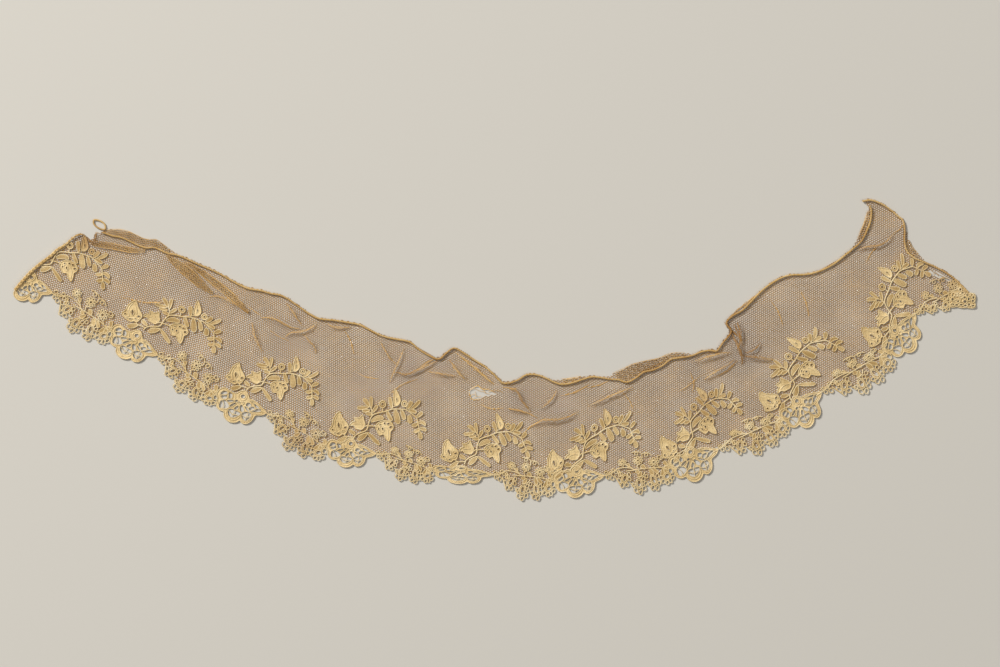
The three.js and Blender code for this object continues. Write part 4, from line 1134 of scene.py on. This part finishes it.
class LACECOLLAR_OT_net(bpy.types.Operator):
    """Works the hexagonal net with its turned-over flaps, tucks, creases and tears"""

    bl_idname = "lace_collar.net"
    bl_label = "Net ground"

    def folds(self, pitch, thick):
        """The flaps and tucks as more layers of net."""
        flaps = flap_strips(NECK) + flap_strips(RIGHT_END)
        tucks = [np.vstack([left, right[::-1]]) for left, right in map(tuck_sides, TUCKS)]
        strands = Strands(15)
        for outlines, layers in ((flaps, FLAP_LAYERS), (tucks, TUCK_LAYERS)):
            for turn, lift in layers:
                for outline in outlines:
                    strands.net(*hexagon_net(outline, pitch, turn), thick, lift)
        return strands

    def gathered(self, thick):
        """The creases, fold edges and ravelled rims as bunches of the net's thread."""
        strands, lifts = Strands(14), BUNCH_LIFTS
        fine, edge, torn = CREASE_THREAD * thick, FOLD_THREAD * thick, RAVEL_THREAD * thick
        for wide, high, path in CREASES:
            wide = BUNCH_WIDTH * wide
            gathers(strands, on_table(path), wide, lifts["crease"], 3 + round(high), fine)
        for wide, path in FINE_CREASES:
            count = 2 + round(wide)
            gathers(strands, on_table(path), BUNCH_WIDTH * wide, lifts["fine"], count, fine)
        for rows in TUCKS:
            for side in tuck_sides(rows):
                gathers(strands, side[::SMOOTHNESS], EDGE_BUNCH, lifts["tuck"], 2, edge)
        for strip in flap_strips(NECK) + flap_strips(RIGHT_END):
            outer = strip[: len(strip) // 2]
            gathers(strands, outer, EDGE_BUNCH, lifts["flap"], 2, edge)
        for wide, path in RAVELLED:
            gathers(strands, on_table(path), wide, lifts["ravel"], 4, torn)
        for path in LOOSE_THREADS:
            strands.add(smooth(on_table(path)), torn, lifts["ravel"])
        return strands

    def execute(self, context):
        c = context.scene.lace_collar
        pitch, thick = c.net_pitch / MM, c.net_thread / MM
        sorted_out = [Strands(seed) for seed in (11, 12, 13)]
        splits = on_table([(x, 0) for x in NET_SPLITS])[:, 0]
        folds = joined("net_folds", [
            worked(self.folds(pitch, thick), "net_folds", net_painted_lighter_where_gathered(), sides=3, closed_ends=False),
            worked(self.gathered(thick), "net_creases", net_painted_lighter_where_gathered(), sides=4),
        ])
        seated(folds, "net", "net_ground")
        points, edges = hexagon_net(NET_OUTLINE, pitch)
        where = np.searchsorted(splits, points[edges[:, 0], 0])
        for i, (strands, name) in enumerate(zip(sorted_out, ("net_left", "net_middle", "net_right"))):
            used, packed = np.unique(edges[where == i], return_inverse=True)
            strands.net(points[used], packed.reshape(-1, 2), thick, 0)
            piece = worked(strands, name, net_cotton(), sides=3, closed_ends=False)
            seated(piece, "net", "net_ground")
        return {"FINISHED"}


# Worked lace


def leaf(cords, cloth, place, row, cord):
    """A blade of clothwork inside its raised outline."""
    root_x, root_y, tip_x, tip_y, wide, bow = row
    root, tip = np.array([root_x, root_y], float), np.array([tip_x, tip_y], float)
    along, across = tip - root, unit(np.array([[tip_y - root_y, root_x - tip_x]]))[0]
    share, half = np.array(LEAF_SHAPE).T
    spine = root + share[:, None] * along + (bow * np.sin(math.pi * share))[:, None] * across
    half = half * (wide / 2 - LEAF_INSET)
    sides = [spine + side * half[:, None] * across for side in (1, -1)]
    blade = np.vstack([sides[0], sides[1][::-1]])
    cords.add(place(blade), LEAF_CORD * cord, OUTLINE_LIFT, closed=True)
    cloth.add(place(spine), np.maximum(half * MM_PER_PX, LEAST_LEAF), LEAF_LIFT)


def corded(cords, place, row, grow, thick, lift=OUTLINE_LIFT, corners=12):
    """A cord laid in an oval, outside the one that the row gives by as much as it grows."""
    x, y, long, wide, turn = row
    ring = oval((x, y), long + grow, wide + grow, turn, corners)
    cords.add(place(ring), thick, lift, closed=True)


def clothed_ring(cords, cloth, place, row, cord):
    """A ring of clothwork with a cord at its rim and a thinner one round its hole."""
    x, y, outer, hole = row
    middle = (outer + hole) / 2
    wide = (outer - hole) / 2 * MM_PER_PX
    cloth.add(place(oval((x, y), middle, middle)), wide, RING_BAND_LIFT, closed=True)
    corded(cords, place, (x, y, outer, outer, 0), -0.4, cord, RING_LIFT, corners=16)
    corded(cords, place, (x, y, hole, hole, 0), 0.3, INNER_RING_CORD * cord, RING_LIFT)


def grown(outline, by):
    """A small outline made larger all round."""
    outline = np.asarray(outline, float)
    middle = outline.mean(0)
    reach = np.linalg.norm(outline - middle, axis=1).mean()
    return middle + (outline - middle) * (1 + by / reach)


def plate(cords, plates, place, outline, holes, ribs, cord):
    """Clothwork inside a cord, with corded holes and raised ribs."""
    shape = cords.held(smooth(place(outline), True, 2))
    if shape is None:
        return
    openings = [place(smooth(grown(hole, HOLE_EDGE), True, 2)) for hole in holes]
    openings = [ring for ring in openings if cords.clear(ring)]
    plates.add(shape, openings, PLATE_LOW, PLATE_HIGH)
    cords.add(shape, cord, OUTLINE_LIFT, closed=True)
    for ring in openings:
        cords.add(ring, HOLE_CORD * cord, OUTLINE_LIFT, closed=True)
    for rib in ribs:
        cords.add(smooth(place(rib)), RIB_CORD * cord, OUTLINE_LIFT)


def dressed(name, cords, cloth, plates=None):
    """One piece of lace: its cords, and its clothwork in flattened strands and in plates."""
    parts = [
        worked(cords, name, lace_cord()),
        worked(cloth, name + "_cloth", clothwork_with_painted_shade(), sides=8, flatness=0.15),
    ]
    if plates and plates.verts:
        parts.append(plates.object(name + "_plates", clothwork_with_painted_shade()))
    return joined(name, parts)


class LACECOLLAR_OT_sprays(bpy.types.Operator):
    """Works the nine flower and fern sprays that are applied to the net"""

    bl_idname = "lace_collar.sprays"
    bl_label = "Flower sprays"

    def execute(self, context):
        cord = context.scene.lace_collar.lace_cord / MM
        for i, placed in enumerate(SPRAYS):
            place = motif_map(SPRAY_MARKS, placed)
            past = PAST_ENDS.get(i) if i == 0 else None
            cords, cloth, plates = Strands(30 + i, past), Strands(50 + i, past), Plates()
            for row in LEAVES:
                leaf(cords, cloth, place, row, cord)
            for row in SPRAY_RINGS:
                clothed_ring(cords, cloth, place, row, cord)
            for thick, path in SPRAY_STEMS:
                cords.add(smooth(place(path)), thick, STEM_LIFT)
            # The first spray has no upright bell, which is the first of the plates
            for outline, holes, ribs in PLATES[0 if i else 1:]:
                holes = [oval((x, y), long, wide, corners=6) for x, y, long, wide in holes]
                plate(cords, plates, place, outline, holes, ribs, cord)
            piece = dressed(f"applied_spray_{i + 1}", cords, cloth, plates)
            seated(piece, "lace", f"spray_{i + 1}")
        return {"FINISHED"}


class LACECOLLAR_OT_border(bpy.types.Operator):
    """Works the scalloped border: an openwork fan and a flowered scallop in each repeat"""

    bl_idname = "lace_collar.border"
    bl_label = "Scalloped border"

    def scallop(self, cords, cloth, place, cord, first_angle):
        """Flowers of looped cord, clothwork rosettes, loops, leaves and stems."""
        for x, y, reach, petal, count, hole in FLOWERS:
            for k in range(count):
                angle = first_angle + 2 * math.pi * k / count
                at = (x + reach * math.cos(angle), y + reach * math.sin(angle))
                row = (*at, petal * 0.7, petal * 0.58, math.degrees(angle))
                corded(cords, place, row, 0, cord, corners=10)
            corded(cords, place, (x, y, hole, hole, 0), 0.5, EYE_CORD * cord, EYE_LIFT)
        for row in ROSETTES:
            corded(cloth, place, row, 1.1, ROSETTE_BAND, BAND_LIFT, corners=16)
            corded(cords, place, row, 0.4, cord, corners=14)
            corded(cords, place, row, 1.7, cord, corners=18)
        for row in SCALLOP_RINGS:
            corded(cords, place, row, 0.8, cord)
        for row in SCALLOP_LEAVES:
            leaf(cords, cloth, place, row, cord)
        for thick, path in SCALLOP_STEMS:
            cords.add(smooth(place(path)), thick, OUTLINE_LIFT)

    def fan(self, cords, plates, place, cord):
        """Clothwork with holes, corded at every edge, with brides across its larger holes."""
        plate(cords, plates, place, FAN_OUTLINE, FAN_CELLS, (), cord)
        for row in FAN_RINGS:
            corded(cords, place, row, 0, FAN_RING_CORD * cord, corners=16)
        for thick, path in FAN_CORDS:
            cords.add(smooth(place(path)), thick, BRIDE_LIFT)

    def folded_corner(self, cords, plates, cord):
        """The last bit of the border, folded over and stiff: thick loops crowded on clothwork."""
        holes = [oval((x, y), long, wide, turn, corners=6) for x, y, long, wide, turn in FOLDED_LOOPS]
        plate(cords, plates, on_table, FOLDED_CORNER, holes, (), cord)
        for hole in holes:
            loop = smooth(grown(hole, 0.95), True, 2)
            cords.add(on_table(loop), FOLDED_CORD * cord, FOLDED_LIFT, closed=True)

    def execute(self, context):
        cord = context.scene.lace_collar.lace_cord / MM
        for i in range(len(SCALLOPS)):
            past = PAST_ENDS.get(i)
            cords, cloth, plates = Strands(70 + i, past), Strands(90 + i, past), Plates()
            self.scallop(cords, cloth, SCALLOP_MAPS[i], cord, 0.6 * i)
            self.fan(cords, plates, FAN_MAPS[i], cord)
            if i == len(SCALLOPS) - 1:
                self.folded_corner(cords, plates, cord)
            seated(dressed(f"lace_border_{i + 1}", cords, cloth, plates), "lace", f"border_{i + 1}")
        return {"FINISHED"}


# Hems


def wound(line, radius, pitch, corners=6):
    """A thread that winds round a path: its flat points, their heights, and the path under them."""
    middle, at = evenly(line, pitch / corners)
    angle = 2 * math.pi * at / pitch
    return shifted(middle, radius * np.cos(angle)), radius * np.sin(angle), middle


class LACECOLLAR_OT_hems(bpy.types.Operator):
    """Rolls and whips the neck and right end hems, braids the left one and works the loop"""

    bl_idname = "lace_collar.hems"
    bl_label = "Hems and button loop"

    def whipped(self, name, rows, roll, seed):
        """A roll of net with a thread wound round it."""
        line = smooth(hem_path(rows))
        core, whipping = Strands(seed), Strands(seed + 10)
        # The roll swells and thins a little along its length
        uneven = 0.78 + 0.1 * np.sin(np.arange(len(line)) / 2.3) * np.sin(np.arange(len(line)) / 5.9)
        core.add(line, roll * uneven, HEM_LIFT)
        flat, rise, middle = wound(line, 0.8 * roll, HEM_STITCH)
        whipping.add(flat, WHIPPING, HEM_LIFT, height=relief(middle) + rise)
        return joined(name, [
            worked(core, name, hem_cotton(), sides=8),
            worked(whipping, name + "_stitches", hem_cotton(), sides=4),
        ])

    def braided(self, name, rows, roll, seed):
        """Three strands that cross over and under each other, thinner towards the neck."""
        line, at = evenly(smooth(hem_path(rows)), BRAID_PITCH / 8)
        half = roll * np.interp(at / at[-1], (0, 0.62, 0.8, 1), (1, 0.95, 0.6, 0.5))
        strands = Strands(seed)
        for k in range(3):
            angle = 2 * math.pi * (at / BRAID_PITCH + k / 3)
            path = shifted(line, 0.62 * half * np.sin(angle))
            rise = 0.3 * half * np.sin(2 * angle)
            strands.add(path, 0.55 * half, height=relief(line) + BRAID_LIFT + rise)
        return worked(strands, name, hem_cotton(), sides=7)

    def execute(self, context):
        roll = context.scene.lace_collar.hem_roll / MM
        seated(self.whipped("whipped_neck_hem", NECK, roll, 110), "hem", "neck_hem")
        seated(self.whipped("whipped_right_hem", RIGHT_END, roll, 111), "hem", "right_end_hem")
        braid = self.braided("braided_left_hem", LEFT_END, BRAID_ROLL * roll, 112)
        seated(braid, "hem", "left_end_hem")
        loop = Strands(130)
        loop.add(smooth(on_table(LOOP), True), LOOP_THREAD, height=LOOP_HEIGHT, closed=True)
        seated(worked(loop, "thread_button_loop", hem_cotton(), sides=8), "hem", "button_loop")
        return {"FINISHED"}


# Stage


class LACECOLLAR_OT_stage(bpy.types.Operator):
    """Sets the plain table, the soft light and the camera straight above the collar"""

    bl_idname = "lace_collar.stage"
    bl_label = "Table, light and camera"

    def execute(self, context):
        scene = context.scene
        scene.view_settings.view_transform = "Standard"
        table = bpy.data.meshes.new("table")
        corners = [(x * TABLE_REACH, y * TABLE_REACH, 0) for x, y in ((-1, -1), (1, -1), (1, 1), (-1, 1))]
        table.from_pydata(corners, [], [(0, 1, 2, 3)])
        floor = bpy.data.objects.new("table", table)
        floor.location.z = -TABLE_DROP
        scene.collection.objects.link(floor)
        matt = bpy.data.materials.new("paint_matt_table")
        matt.use_nodes = True
        shader = matt.node_tree.nodes["Principled BSDF"]
        shader.inputs["Base Color"].default_value = linear(scene.lace_collar.floor_colour)
        shader.inputs["Roughness"].default_value = 0.9
        table.materials.append(matt)
        for name, place, size, power in LIGHTS:
            light = bpy.data.lights.new(name, "AREA")
            light.size, light.energy = size, power
            lamp = bpy.data.objects.new(name, light)
            lamp.location = place
            lamp.rotation_euler = (-lamp.location).to_track_quat("-Z", "Y").to_euler()
            scene.collection.objects.link(lamp)
        world = bpy.data.worlds.new("studio")
        world.use_nodes = True
        world.node_tree.nodes["Background"].inputs["Color"].default_value = (1, 1, 1, 1)
        world.node_tree.nodes["Background"].inputs["Strength"].default_value = SKY
        scene.world = world
        camera = bpy.data.cameras.new("camera")
        camera.lens, camera.sensor_width = 100, 36
        eye = bpy.data.objects.new("camera", camera)
        middle = on_table([(PHOTO_SIZE[0] / 2, PHOTO_SIZE[1] / 2)])[0] * MM
        wide = PHOTO_SIZE[0] * MM_PER_PX * MM
        eye.location = (*middle, wide * camera.lens / camera.sensor_width)
        scene.collection.objects.link(eye)
        scene.camera = eye
        return {"FINISHED"}


class LACECOLLAR_PT_panel(bpy.types.Panel):
    bl_idname = "LACECOLLAR_PT_panel"
    bl_label = "Lace collar"
    bl_space_type = "VIEW_3D"
    bl_region_type = "UI"
    bl_category = "Collar"

    def draw(self, context):
        settings = context.scene.lace_collar
        for key in LaceCollarSettings.__annotations__:
            self.layout.prop(settings, key)
        for operator in OPERATORS:
            self.layout.operator(operator.bl_idname)


OPERATORS = (
    LACECOLLAR_OT_stage, LACECOLLAR_OT_net, LACECOLLAR_OT_sprays, LACECOLLAR_OT_border,
    LACECOLLAR_OT_hems,
)


def register():
    for cls in (LaceCollarSettings, *OPERATORS, LACECOLLAR_PT_panel):
        bpy.utils.register_class(cls)
    bpy.types.Scene.lace_collar = bpy.props.PointerProperty(type=LaceCollarSettings)


def unregister():
    del bpy.types.Scene.lace_collar
    for cls in (LACECOLLAR_PT_panel, *reversed(OPERATORS), LaceCollarSettings):
        bpy.utils.unregister_class(cls)


def main():
    register()
    bpy.ops.lace_collar.stage()
    bpy.ops.lace_collar.net()
    bpy.ops.lace_collar.sprays()
    bpy.ops.lace_collar.border()
    bpy.ops.lace_collar.hems()


if __name__ == "__main__":
    main()
